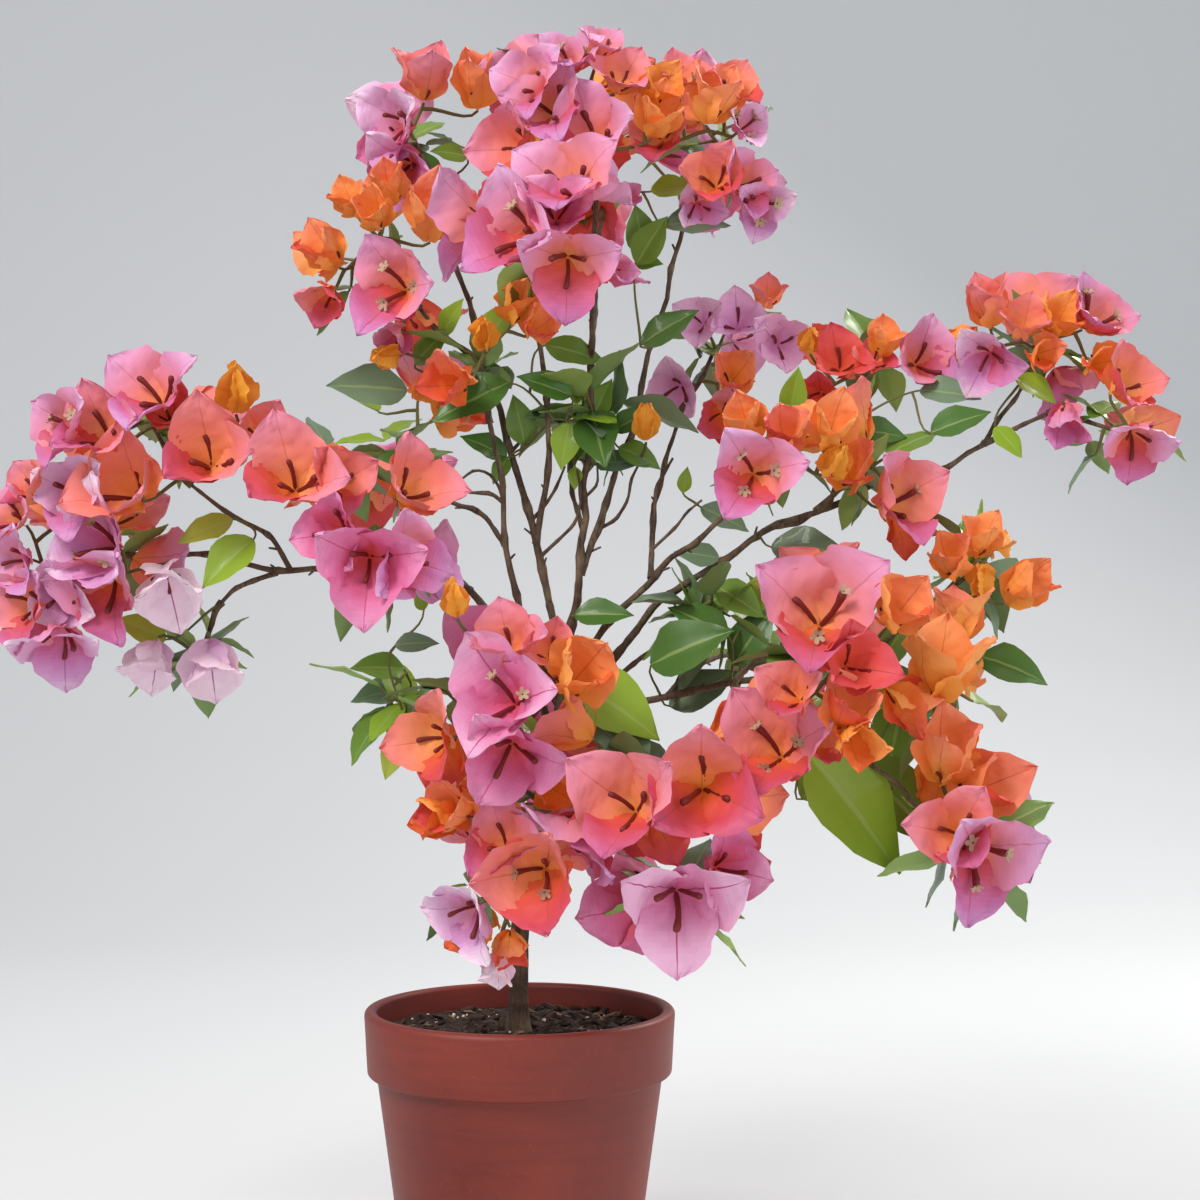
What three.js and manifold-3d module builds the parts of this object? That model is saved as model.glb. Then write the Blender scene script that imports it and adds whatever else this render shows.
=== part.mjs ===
// A bougainvillea bush trained on one thin trunk, in its clay pot.
// Millimetres, +Z up. The origin is the centre of the pot's flat underside, and -Y is the side seen first.
import * as THREE from 'three';
import { mergeVertices } from 'three/addons/utils/BufferGeometryUtils.js';
import Module from 'manifold-3d';

const wasm = await Module();
wasm.setup();

// Driving dimensions of the pot and its soil
const POT_HEIGHT = 146;
const RIM_RADIUS = 80;
const COLLAR_HEIGHT = 33;
const COLLAR_TAPER = 1.5;
const COLLAR_STEP = 5;
const BASE_RADIUS = 58.5;
const WALL = 7;
const FLOOR = 9;
const LIP_ROUND = 2.6;
const POT_SIDES = 32;
const SOIL_LEVEL = 134;
const SOIL_SIDES = 16;
const SEAT = 0.3;

// Driving dimensions of the plant
const TRUNK_RADIUS = 5;
const TRUNK_TOP_RADIUS = 4.6;
const TRUNK_FLARE = 3.2;
const FORK = [24, 0, 310];
const NODE_SPACING = 34;
const NODE_KINK = 2.2;
const TWIG_RADIUS = 0.9;
const STEM_RADIUS = 2.1;
const BRACT_THICKNESS = 1.5;
const LEAF_THICKNESS = 1.2;
const FINEST_EDGE = 0.005;
const SPACE_GAP = 0.4;
const REACH_SLACK = 1.15;
const TRIES = 40;
const SPRIG_LEAVES = 3;
const BLADE_ROOM = 5;
const TWIG_ROOM = 4;
const LOWEST_FLOWER = 152;
const GOLDEN_ANGLE = 2.399963;

// A bract by its age: length, opening angle at its root and at its tip, and half width over length
const AGES = {
  bud: { length: 23, root: 24, tip: -8, width: 0.33 },
  young: { length: 34, root: 42, tip: 10, width: 0.4 },
  open: { length: 41, root: 48, tip: 40, width: 0.44 },
  full: { length: 45, root: 44, tip: 70, width: 0.45 },
  faded: { length: 38, root: 36, tip: 62, width: 0.44 },
};
const TINTS = {
  amber: { age: 'bud', color: '#e8891c' },
  orange: { age: 'young', color: '#ef8433' },
  coral: { age: 'young', color: '#ec6a4c' },
  salmon: { age: 'open', color: '#ee7d74' },
  pink: { age: 'full', color: '#e579a6' },
  magenta: { age: 'full', color: '#dd5590' },
  lilac: { age: 'full', color: '#dd8cc4' },
  violet: { age: 'young', color: '#d489cf' },
  pale: { age: 'faded', color: '#f0c3da' },
};
const LEAF_COLOR = '#4f7d33';

// Limbs: name, the limb that carries it and how far along, its tip, how far it bows out, and its two radii
const LIMBS = [
  { name: 'left_bough', on: 'trunk', at: 0.84, tip: [-150, -26, 378], bow: [6, 0, 52], radii: [3.1, 2] },
  { name: 'left_crown_branch', on: 'left_bough', at: 0.8,
    tip: [-164, -34, 414], bow: [6, 2, 2], radii: [1.9, 1.5] },
  { name: 'left_foot_branch', on: 'left_bough', at: 0.84,
    tip: [-152, -16, 354], bow: [-2, 0, 3], radii: [1.8, 1.4] },
  { name: 'left_low_branch', on: 'left_bough', at: 0.3,
    tip: [-46, -42, 372], bow: [0, -4, 0], radii: [2, 1.6] },
  { name: 'gold_bough', on: 'trunk', at: 0.93, tip: [-15, -14, 447], bow: [-11, 0, 0], radii: [2.9, 1.9] },
  { name: 'left_inner_branch', on: 'gold_bough', at: 0.58,
    tip: [-56, -36, 417], bow: [0, 0, 6], radii: [1.9, 1.5] },
  { name: 'tall_left_bough', on: 'trunk', at: 0.98, tip: [-44, 6, 568], bow: [5, 2, 0], radii: [3.2, 1.8] },
  { name: 'shoulder_branch', on: 'tall_left_bough', at: 0.66,
    tip: [-52, -2, 507], bow: [0, 0, -4], radii: [2, 1.5] },
  { name: 'face_bough', on: 'tall_left_bough', at: 0.3,
    tip: [8, -24, 497], bow: [10, 3, 0], radii: [2.6, 1.8] },
  { name: 'crest_bough', on: 'trunk', at: 1, tip: [41, 2, 578], bow: [4, 2, 0], radii: [3.3, 1.9] },
  { name: 'tall_right_bough', on: 'crest_bough', at: 0.22,
    tip: [86, 4, 556], bow: [6, 6, 6], radii: [2.5, 1.7] },
  { name: 'crest_back_branch', on: 'crest_bough', at: 0.66,
    tip: [42, 56, 562], bow: [0, 0, -6], radii: [2, 1.6] },
  { name: 'heart_branch', on: 'crest_bough', at: 0.3,
    tip: [26, 20, 424], bow: [-2, 3, 0], radii: [1.9, 1.5] },
  { name: 'right_bough', on: 'trunk', at: 0.95, tip: [111, -26, 405], bow: [0, 0, 17], radii: [3, 1.9] },
  { name: 'violet_branch', on: 'right_bough', at: 0.5,
    tip: [84, 42, 455], bow: [-6, 4, 0], radii: [2.1, 1.6] },
  { name: 'far_bough', on: 'trunk', at: 0.9, tip: [272, -6, 452], bow: [0, 6, 33], radii: [3.1, 1.7] },
  { name: 'right_row_branch', on: 'far_bough', at: 0.55,
    tip: [178, 30, 464], bow: [0, 2, 3], radii: [1.9, 1.5] },
  { name: 'right_low_branch', on: 'far_bough', at: 0.42,
    tip: [152, -14, 402], bow: [0, -3, -3], radii: [1.9, 1.5] },
  { name: 'far_up_branch', on: 'far_bough', at: 0.87, tip: [262, 6, 470], bow: [0, 0, 1], radii: [1.7, 1.4] },
  { name: 'low_right_bough', on: 'trunk', at: 0.8,
    tip: [186, -46, 322], bow: [0, 12, 16], radii: [3.1, 1.9] },
  { name: 'right_front_branch', on: 'low_right_bough', at: 0.55,
    tip: [124, -62, 330], bow: [0, 0, 2], radii: [2, 1.6] },
  { name: 'right_gold_branch', on: 'low_right_bough', at: 0.84,
    tip: [212, -24, 356], bow: [0, 2, 0], radii: [1.8, 1.4] },
  { name: 'hanging_branch', on: 'low_right_bough', at: 0.68,
    tip: [194, -80, 256], bow: [-2, -8, 4], radii: [2, 1.5] },
  { name: 'back_right_branch', on: 'low_right_bough', at: 0.34,
    tip: [112, 66, 326], bow: [0, 0, 8], radii: [2.2, 1.7] },
  { name: 'back_left_branch', on: 'left_bough', at: 0.42,
    tip: [-66, 34, 408], bow: [6, 4, -4], radii: [2.1, 1.6] },
];

// Masses of blossom and leaf: centre and reach of each one's space, the way its flowers face and how wide
// they spread about that, in degrees, and its flowers by tint. A mass on the trunk says how high its stem
// leaves it.
const MASSES = [
  { name: 'crest', on: 'crest_bough', at: [24, -16, 612], reach: [60, 46, 42],
    face: [0, -0.6, 0.8], spread: 112,
    flowers: ['pink', 'pink', 'salmon', 'orange', 'pink', 'salmon', 'coral', 'pink'], leaves: 3, seed: 11 },
  { name: 'face', on: 'face_bough', at: [14, -62, 535], reach: [50, 46, 47],
    face: [0, -1, 0], spread: 95,
    flowers: ['pink', 'salmon', 'pink', 'magenta', 'pink', 'lilac'], leaves: 3, seed: 12 },
  { name: 'top_right', on: 'tall_right_bough', at: [106, -2, 592], reach: [52, 48, 52],
    face: [0.4, -0.7, 0.3], spread: 112,
    flowers: ['coral', 'pink', 'orange', 'salmon', 'pink', 'lilac'], leaves: 3, seed: 13 },
  { name: 'top_left', on: 'tall_left_bough', at: [-60, 8, 602], reach: [38, 44, 48],
    face: [-0.5, -0.6, 0.5], spread: 118,
    flowers: ['salmon', 'pink', 'orange', 'pink', 'lilac'], leaves: 3, seed: 14 },
  { name: 'left_shoulder', on: 'shoulder_branch', at: [-74, -8, 528], reach: [48, 46, 46],
    face: [-0.5, -0.8, 0], spread: 118,
    flowers: ['pink', 'orange', 'orange', 'coral', 'amber', 'salmon', 'orange'], leaves: 3, seed: 15 },
  { name: 'gold_centre', on: 'gold_bough', at: [-20, -26, 480], reach: [42, 38, 32],
    face: [-0.2, -0.9, 0.3], spread: 110,
    flowers: ['orange', 'amber', 'orange', 'coral', 'amber'], leaves: 6, seed: 16 },
  { name: 'left_crown', on: 'left_crown_branch', at: [-184, -38, 450], reach: [62, 50, 48],
    face: [0, -0.7, 0.7], spread: 112,
    flowers: ['salmon', 'pink', 'salmon', 'orange', 'pink', 'salmon', 'magenta', 'coral'],
    leaves: 2, seed: 17 },
  { name: 'left_heart', on: 'left_bough', at: [-224, -32, 378], reach: [54, 52, 50],
    face: [-0.5, -0.8, -0.1], spread: 112,
    flowers: ['pink', 'salmon', 'lilac', 'pink', 'lilac', 'pink', 'lilac'], leaves: 3, seed: 18 },
  { name: 'left_hanging', on: 'left_foot_branch', at: [-164, -16, 324], reach: [36, 36, 36],
    face: [-0.2, -0.5, -0.8], spread: 90,
    flowers: ['pale', 'pale', 'pale'], leaves: 3, seed: 19 },
  { name: 'left_inner', on: 'left_inner_branch', at: [-92, -50, 426], reach: [46, 44, 38],
    face: [0.1, -0.9, 0.3], spread: 100,
    flowers: ['salmon', 'salmon', 'coral', 'pink', 'salmon'], leaves: 2, seed: 20 },
  { name: 'left_inner_low', on: 'left_low_branch', at: [-66, -74, 370], reach: [42, 44, 44],
    face: [0, -0.8, -0.5], spread: 100,
    flowers: ['magenta', 'pink', 'magenta', 'pink', 'lilac'], leaves: 2, seed: 21 },
  { name: 'violet', on: 'violet_branch', at: [104, 62, 497], reach: [42, 42, 40],
    face: [0, -0.6, 0.7], spread: 125,
    flowers: ['violet', 'violet', 'violet', 'coral', 'violet', 'violet'], leaves: 3, seed: 22 },
  { name: 'right_row', on: 'right_row_branch', at: [190, 40, 487], reach: [46, 42, 30],
    face: [0, -0.6, 0.6], spread: 125,
    flowers: ['coral', 'orange', 'coral', 'amber', 'coral', 'orange'], leaves: 3, seed: 23 },
  { name: 'right_face', on: 'right_bough', at: [122, -50, 425], reach: [42, 42, 38],
    face: [-0.2, -0.9, 0], spread: 110,
    flowers: ['pink', 'orange', 'orange', 'magenta', 'amber'], leaves: 3, seed: 24 },
  { name: 'right_low', on: 'right_low_branch', at: [182, -20, 424], reach: [46, 44, 36],
    face: [0.4, -0.8, 0], spread: 110,
    flowers: ['salmon', 'orange', 'pink', 'coral', 'orange'], leaves: 3, seed: 25 },
  { name: 'far_right_up', on: 'far_up_branch', at: [270, 10, 495], reach: [52, 46, 38],
    face: [0, -0.6, 0.7], spread: 118,
    flowers: ['pink', 'coral', 'lilac', 'orange', 'pink', 'coral'], leaves: 3, seed: 26 },
  { name: 'far_right_tip', on: 'far_bough', at: [306, -12, 442], reach: [40, 44, 44],
    face: [0.6, -0.6, -0.3], spread: 112,
    flowers: ['salmon', 'pink', 'orange', 'pink', 'salmon'], leaves: 3, seed: 27 },
  { name: 'leafy_heart', on: 'heart_branch', at: [36, 6, 458], reach: [60, 52, 38],
    face: [0.4, -0.9, 0], spread: 90,
    flowers: ['amber'], leaves: 21, leaf: 40, seed: 28 },
  { name: 'front_upper', on: 'trunk', from: 0.72, at: [-12, -60, 312], reach: [66, 50, 48],
    face: [0, -0.9, 0.3], spread: 112,
    flowers: ['magenta', 'salmon', 'orange', 'pink', 'orange', 'coral', 'pink'], leaves: 3, seed: 29 },
  { name: 'front_middle', on: 'trunk', from: 0.6, at: [66, -80, 269], reach: [68, 48, 44],
    face: [0.2, -0.9, 0.2], spread: 112,
    flowers: ['salmon', 'coral', 'salmon', 'salmon', 'pink', 'salmon', 'coral'],
    leaves: 6, leaf: 46, seed: 30 },
  { name: 'front_low_left', on: 'trunk', from: 0.45, at: [-10, -58, 220], reach: [54, 46, 52],
    face: [-0.2, -0.9, -0.2], spread: 112,
    flowers: ['salmon', 'pink', 'orange', 'lilac', 'salmon', 'pink'], leaves: 3, seed: 31 },
  { name: 'front_low_right', on: 'trunk', from: 0.5, at: [82, -58, 206], reach: [44, 46, 50],
    face: [0.1, -0.8, -0.5], spread: 95,
    flowers: ['pink', 'magenta', 'pink', 'salmon'], leaves: 3, seed: 32 },
  { name: 'left_leaves', on: 'trunk', from: 0.66, at: [-66, -6, 306], reach: [34, 36, 46],
    face: [0, -0.5, 0.8], spread: 90,
    flowers: ['amber'], leaves: 9, leaf: 36, seed: 33 },
  { name: 'right_leaves', on: 'trunk', from: 0.85, at: [98, -6, 352], reach: [46, 44, 34],
    face: [0, -0.9, 0.3], spread: 90,
    flowers: [], leaves: 15, leaf: 42, seed: 34 },
  { name: 'right_front', on: 'right_front_branch', at: [152, -94, 330], reach: [50, 48, 50],
    face: [0, -0.9, 0.3], spread: 108,
    flowers: ['magenta', 'orange', 'coral', 'salmon', 'orange', 'magenta'], leaves: 3, seed: 35 },
  { name: 'right_gold', on: 'right_gold_branch', at: [236, -18, 375], reach: [42, 42, 32],
    face: [0.4, -0.6, 0.6], spread: 110,
    flowers: ['orange', 'amber', 'orange', 'orange', 'amber'], leaves: 3, leaf: 40, seed: 36 },
  { name: 'right_arm', on: 'low_right_bough', at: [218, -62, 306], reach: [44, 48, 48],
    face: [0.4, -0.9, 0], spread: 105,
    flowers: ['orange', 'orange', 'coral', 'orange', 'amber', 'orange'], leaves: 3, leaf: 40, seed: 37 },
  { name: 'right_hanging', on: 'hanging_branch', at: [218, -84, 232], reach: [44, 46, 42],
    face: [0.4, -0.6, -0.6], spread: 95,
    flowers: ['pink', 'salmon', 'coral', 'lilac', 'pink'], leaves: 3, leaf: 58, seed: 38 },
  { name: 'back_top', on: 'crest_back_branch', at: [42, 96, 590], reach: [72, 54, 56],
    face: [0, 0.8, 0.5], spread: 112,
    flowers: ['pink', 'salmon', 'lilac', 'orange', 'pink', 'salmon', 'coral'], leaves: 6, seed: 39 },
  { name: 'back_left', on: 'back_left_branch', at: [-68, 72, 444], reach: [60, 46, 52],
    face: [-0.2, 0.9, 0.3], spread: 112,
    flowers: ['pink', 'salmon', 'orange', 'pink', 'magenta', 'coral', 'salmon'], leaves: 6, seed: 42 },
  { name: 'back_right', on: 'back_right_branch', at: [142, 104, 334], reach: [62, 54, 56],
    face: [0.3, 0.9, 0.2], spread: 115,
    flowers: ['salmon', 'pink', 'orange', 'salmon', 'magenta', 'orange'], leaves: 6, seed: 40 },
  { name: 'back_low', on: 'trunk', from: 0.55, at: [14, 78, 262], reach: [64, 54, 58],
    face: [0, 0.9, 0.2], spread: 115,
    flowers: ['pink', 'orange', 'salmon', 'magenta', 'salmon', 'orange'], leaves: 6, seed: 41 },
];

const vector = (point) => new THREE.Vector3(...point);
const along = (a, b, t) => a.clone().lerp(b, t);
const radians = (degrees) => (degrees * Math.PI) / 180;

// A seeded stream of numbers from 0 to 1, the same on every machine.
function randomFrom(seed) {
  let state = seed >>> 0;
  return () => {
    state = (state + 0x6d2b79f5) >>> 0;
    let mixed = Math.imul(state ^ (state >>> 15), state | 1);
    mixed ^= mixed + Math.imul(mixed ^ (mixed >>> 7), mixed | 61);
    return ((mixed ^ (mixed >>> 14)) >>> 0) / 4294967296;
  };
}

// Two directions square to a given one, and to each other.
function sideAxes(direction) {
  const helper = Math.abs(direction.z) < 0.9 ? new THREE.Vector3(0, 0, 1) : new THREE.Vector3(1, 0, 0);
  const side = new THREE.Vector3().crossVectors(direction, helper).normalize();
  return [side, new THREE.Vector3().crossVectors(side, direction).normalize()];
}

// A direction turned away from an axis by an angle, at a place round it.
function leanFrom(axis, angle, turn) {
  const [side, lift] = sideAxes(axis);
  return axis.clone().multiplyScalar(Math.cos(angle))
    .addScaledVector(side, Math.sin(angle) * Math.cos(turn))
    .addScaledVector(lift, Math.sin(angle) * Math.sin(turn)).normalize();
}

// A mesh as a solid for cutting and joining, and back.
function solid(geometry) {
  const bare = new THREE.BufferGeometry().setAttribute('position', geometry.getAttribute('position'));
  if (geometry.index) bare.setIndex(geometry.index);
  const merged = mergeVertices(bare, 1e-4);
  return new wasm.Manifold(new wasm.Mesh({
    numProp: 3,
    vertProperties: new Float32Array(merged.attributes.position.array),
    triVerts: new Uint32Array(merged.index.array),
  }));
}

function geometryOf(body) {
  const mesh = body.getMesh();
  return new THREE.BufferGeometry()
    .setAttribute('position', new THREE.BufferAttribute(new Float32Array(mesh.vertProperties), 3))
    .setIndex(new THREE.BufferAttribute(new Uint32Array(mesh.triVerts), 1));
}

// The largest outer shell of a joined body: loose scraps go, sealed hollows are filled, and edges shorter than
// the finest one are drawn together.
function largestShell(body) {
  const largest = body.decompose().reduce((best, next) => (next.volume() > best.volume() ? next : best));
  return largest.simplify(FINEST_EDGE);
}

function closedMesh(points, faces) {
  return new THREE.BufferGeometry()
    .setAttribute('position', new THREE.Float32BufferAttribute(points.flatMap((p) => [p.x, p.y, p.z]), 3))
    .setIndex(faces.flat());
}

// A tapering limb of straight stretches between its nodes, with a flat cut at each end.
function limbGeometry(route, radiusAt, sides) {
  const points = [];
  const faces = [];
  const last = route.length - 1;
  let side = null;
  route.forEach((point, ring) => {
    const ahead = route[Math.min(ring + 1, last)].clone().sub(route[Math.max(ring - 1, 0)]).normalize();
    side = side ? side.addScaledVector(ahead, -side.dot(ahead)).normalize() : sideAxes(ahead)[0];
    const lift = new THREE.Vector3().crossVectors(ahead, side);
    const radius = radiusAt(ring / last);
    for (let k = 0; k < sides; k += 1) {
      const turn = (2 * Math.PI * k) / sides;
      points.push(point.clone()
        .addScaledVector(side, radius * Math.cos(turn)).addScaledVector(lift, radius * Math.sin(turn)));
      if (ring === last) continue;
      const next = (k + 1) % sides;
      const here = ring * sides;
      faces.push([here + k, here + next, here + sides + next]);
      faces.push([here + k, here + sides + next, here + sides + k]);
    }
  });
  for (let k = 1; k < sides - 1; k += 1) {
    faces.push([0, k + 1, k], [last * sides, last * sides + k, last * sides + k + 1]);
  }
  return closedMesh(points, faces);
}

// The route of a limb: it arches out early in its length, and turns a little at each node.
function limbRoute(start, tip, bow, seed) {
  const random = randomFrom(seed);
  const steps = Math.max(3, Math.round(start.distanceTo(tip) / NODE_SPACING));
  const [side, lift] = sideAxes(tip.clone().sub(start).normalize());
  const turn = 2 * Math.PI * random();
  const route = [];
  for (let step = 0; step <= steps; step += 1) {
    const t = step / steps;
    const point = along(start, tip, t).addScaledVector(bow, 6.75 * t * (1 - t) * (1 - t));
    const kink = step % steps === 0 ? 0 : (step % 2 ? 1 : -1) * NODE_KINK * (0.5 + random());
    point.addScaledVector(side, kink * Math.cos(turn)).addScaledVector(lift, kink * Math.sin(turn));
    route.push(point);
  }
  return route;
}

// The place and heading at a fraction of the way along a route.
function placeOn(route, fraction) {
  const reach = Math.min(fraction, 0.9999) * (route.length - 1);
  const step = Math.floor(reach);
  return along(route[step], route[step + 1], reach - step);
}

function taper([start, end]) {
  return (t) => start + (end - start) * t;
}

// Every stretch of a limb as a capsule, for keeping twigs and leaves clear of it.
function capsulesOf(owner, route, radiusAt) {
  return route.slice(1).map((end, step) => ({
    owner, start: route[step], end, radius: radiusAt(step / (route.length - 1)),
  }));
}

function distanceToCapsule(point, capsule) {
  const run = capsule.end.clone().sub(capsule.start);
  const reach = point.clone().sub(capsule.start).dot(run) / run.lengthSq();
  const nearest = along(capsule.start, capsule.end, THREE.MathUtils.clamp(reach, 0, 1));
  return nearest.distanceTo(point) - capsule.radius;
}

// The trunk: straight from the soil, then leaning to the fork, with a flare at its root.
const trunkFoot = new THREE.Vector3(-1, 0, SOIL_LEVEL + SEAT);
const fork = vector(FORK);
const trunkRoute = [0, 0.02, 0.06, 0.14, 0.28, 0.42, 0.56, 0.7, 0.85, 1].map((t) => {
  const lean = THREE.MathUtils.smoothstep(t, 0.2, 1.1) / THREE.MathUtils.smoothstep(1, 0.2, 1.1);
  const sway = 1.5 * Math.sin(5 * t) * THREE.MathUtils.smoothstep(t, 0.05, 0.3);
  return new THREE.Vector3(
    THREE.MathUtils.lerp(trunkFoot.x, fork.x, lean), sway, THREE.MathUtils.lerp(trunkFoot.z, fork.z, t));
});
function trunkRadiusAt(ring) {
  const height = trunkRoute[Math.round(ring * (trunkRoute.length - 1))].z - trunkFoot.z;
  const share = height / (fork.z - trunkFoot.z);
  return THREE.MathUtils.lerp(TRUNK_RADIUS, TRUNK_TOP_RADIUS, share) + TRUNK_FLARE * Math.exp(-height / 5);
}

function trunkPlace(height) {
  const z = THREE.MathUtils.lerp(trunkFoot.z, fork.z, height);
  const above = Math.max(1, trunkRoute.findIndex((point) => point.z >= z - 1e-9));
  const [low, high] = [trunkRoute[above - 1], trunkRoute[above]];
  return along(low, high, (z - low.z) / (high.z - low.z));
}

const routes = new Map([['trunk', trunkRoute]]);
const radiusOf = new Map([['trunk', trunkRadiusAt]]);
const capsules = capsulesOf('trunk', trunkRoute, trunkRadiusAt);
LIMBS.forEach((limb, index) => {
  const start = limb.on === 'trunk' ? trunkPlace(limb.at) : placeOn(routes.get(limb.on), limb.at);
  const route = limbRoute(start, vector(limb.tip), vector(limb.bow), 900 + index);
  routes.set(limb.name, route);
  radiusOf.set(limb.name, taper(limb.radii));
  capsules.push(...capsulesOf(limb.name, route, taper(limb.radii)));
});

// A mass's stem: it carries on from its bough's tip, or leaves the trunk, and ends in the heart of the mass.
function stemRoute(mass) {
  const centre = vector(mass.at);
  const heart = centre.clone().addScaledVector(vector(mass.face).normalize(), -0.3 * Math.min(...mass.reach));
  if (mass.on === 'trunk') {
    const root = trunkPlace(mass.from);
    const bend = along(root, heart, 0.5);
    bend.z += 0.08 * root.distanceTo(heart);
    return [root, bend, heart, along(heart, centre, 0.6)];
  }
  const route = routes.get(mass.on);
  const tip = route[route.length - 1];
  const ahead = tip.clone().sub(route[route.length - 2]).normalize();
  const start = tip.clone().addScaledVector(ahead, SEAT);
  return [start, tip.clone().addScaledVector(ahead, 4), along(tip, heart, 0.6), along(heart, centre, 0.6)];
}

const stemTaper = taper([STEM_RADIUS + 0.2, STEM_RADIUS - 0.2]);
const stems = new Map(MASSES.map((mass) => [mass.name, stemRoute(mass)]));
stems.forEach((route, name) => capsules.push(...capsulesOf(name, route, stemTaper)));

// The reach of a mass's space in a direction.
function reachTowards(mass, direction) {
  const [x, y, z] = mass.reach;
  return 1 / Math.hypot(direction.x / x, direction.y / y, direction.z / z);
}

// How far the space goes along a line that a flat wall stands square to.
function supportTowards(mass, direction) {
  const [x, y, z] = mass.reach;
  return Math.hypot(direction.x * x, direction.y * y, direction.z * z);
}

// The flat walls between a mass's space and its neighbours', each by its outward direction and distance.
function wallsOf(mass) {
  const centre = vector(mass.at);
  return MASSES.filter((other) => other !== mass).map((other) => {
    const outward = vector(other.at).sub(centre);
    const distance = outward.length();
    outward.normalize();
    const mine = supportTowards(mass, outward);
    const theirs = supportTowards(other, outward);
    return { outward, limit: centre.dot(outward) + (distance * mine) / (mine + theirs) - SPACE_GAP };
  });
}

function staysInside(mass, walls, points) {
  const centre = vector(mass.at);
  return points.every((point) => {
    if (point.z < LOWEST_FLOWER) return false;
    const away = point.clone().sub(centre);
    const scaled = Math.hypot(away.x / mass.reach[0], away.y / mass.reach[1], away.z / mass.reach[2]);
    return scaled <= REACH_SLACK && walls.every((wall) => point.dot(wall.outward) < wall.limit);
  });
}

function clearOfLimbs(mass, points, room) {
  return points.every((point) => capsules.every((capsule) => (
    capsule.owner === mass.name || distanceToCapsule(point, capsule) > room)));
}

// A point on a bract: u runs from root to tip and v across. It opens from the root angle to the tip angle.
function bractPoint(flower, turn, u, v, out) {
  const { base, axis, length, root, tip, cup } = flower;
  const [side, lift] = sideAxes(axis);
  const away = side.clone().multiplyScalar(Math.cos(turn)).addScaledVector(lift, Math.sin(turn));
  const across = side.clone().multiplyScalar(-Math.sin(turn)).addScaledVector(lift, Math.cos(turn));
  const opening = root + (tip - root) * u;
  const rise = (Math.sin(opening) - Math.sin(root)) / (tip - root);
  const spread = (Math.cos(root) - Math.cos(opening)) / (tip - root);
  const normal = axis.clone().multiplyScalar(Math.sin(opening)).addScaledVector(away, -Math.cos(opening));
  return base.clone().addScaledVector(axis, length * rise).addScaledVector(away, length * spread)
    .addScaledVector(across, length * v).addScaledVector(normal, length * cup * v * v + out);
}

// A flower on its twig as one thin closed shell: three bracts joined at their feet, each with two shoulders
// and a tip, above a three-sided twig. A bud is a closed lantern of six sides on its twig.
function flowerGeometry(flower) {
  const { base, axis, age, root } = flower;
  const lobes = [0, 1, 2].map((third) => flower.roll + (third * 2 * Math.PI) / 3);
  const run = base.clone().sub(flower.stemPoint).normalize();
  const [side, lift] = sideAxes(axis);
  const spokes = lobes.map((turn) => side.clone().multiplyScalar(Math.cos(turn - Math.PI / 3))
    .addScaledVector(lift, Math.sin(turn - Math.PI / 3)));
  const foot = spokes.map((spoke) => base.clone().addScaledVector(axis, -1.5)
    .addScaledVector(spoke, TWIG_RADIUS * 1.5));
  const points = [flower.stemPoint.clone().addScaledVector(run, -1), ...foot];
  const faces = [0, 1, 2].map((k) => [0, 1 + k, 1 + ((k + 1) % 3)]);
  if (age === 'bud') {
    const ring = lobes.flatMap((turn) => [
      bractPoint(flower, turn - Math.PI / 3, 0.4, 0, 0), bractPoint(flower, turn, 0.42, 0, 0)]);
    points.push(...ring, base.clone().addScaledVector(axis, flower.length));
    ring.forEach((_, k) => faces.push([4 + k, 10, 4 + ((k + 1) % 6)]));
    [0, 1, 2].forEach((k) => {
      const [here, next] = [1 + k, 1 + ((k + 1) % 3)];
      const [valley, lobe, nextValley] = [4 + 2 * k, 5 + 2 * k, 4 + ((2 * k + 2) % 6)];
      faces.push([next, here, lobe], [here, valley, lobe], [next, lobe, nextValley]);
    });
    return closedMesh(points, faces);
  }
  const inner = points.length;
  points.push(base.clone().addScaledVector(axis, 1.5 + root));
  const rimOf = (lobe) => inner + 1 + 6 * lobe;
  lobes.forEach((turn, lobe) => {
    const [first, nextFirst] = [rimOf(lobe), rimOf((lobe + 1) % 3)];
    points.push(...lobePoints(flower, turn));
    points.push(bractPoint(flower, turn, 0.5, 0, BRACT_THICKNESS / 2));
    points.push(bractPoint(flower, turn, 0.5, 0, -BRACT_THICKNESS / 2));
    const rim = [first, first + 1, first + 2, first + 3, nextFirst];
    const outside = [1 + lobe, ...rim, 1 + ((lobe + 1) % 3)];
    const inside = [inner, ...rim];
    inside.forEach((from, k) => faces.push([first + 4, inside[(k + 1) % 6], from]));
    outside.forEach((from, k) => faces.push([first + 5, from, outside[(k + 1) % 7]]));
  });
  return closedMesh(points, faces);
}

// The rim of a lobe: the valley before it, a shoulder, the tip, and the other shoulder.
function lobePoints(flower, turn) {
  const shoulder = shoulderOf(flower);
  return [
    bractPoint(flower, turn - Math.PI / 3, 0.2, 0, 0), bractPoint(flower, turn, 0.42, -shoulder, 0),
    bractPoint(flower, turn, 1, 0, 0), bractPoint(flower, turn, 0.42, shoulder, 0)];
}

// Half the width of a lobe over its length, no wider than its third of the flower has room for.
function shoulderOf(flower) {
  const opening = flower.root + (flower.tip - flower.root) * 0.42;
  const spread = (Math.cos(flower.root) - Math.cos(opening)) / (flower.tip - flower.root);
  return Math.min(flower.width, 1.35 * spread);
}

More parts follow.
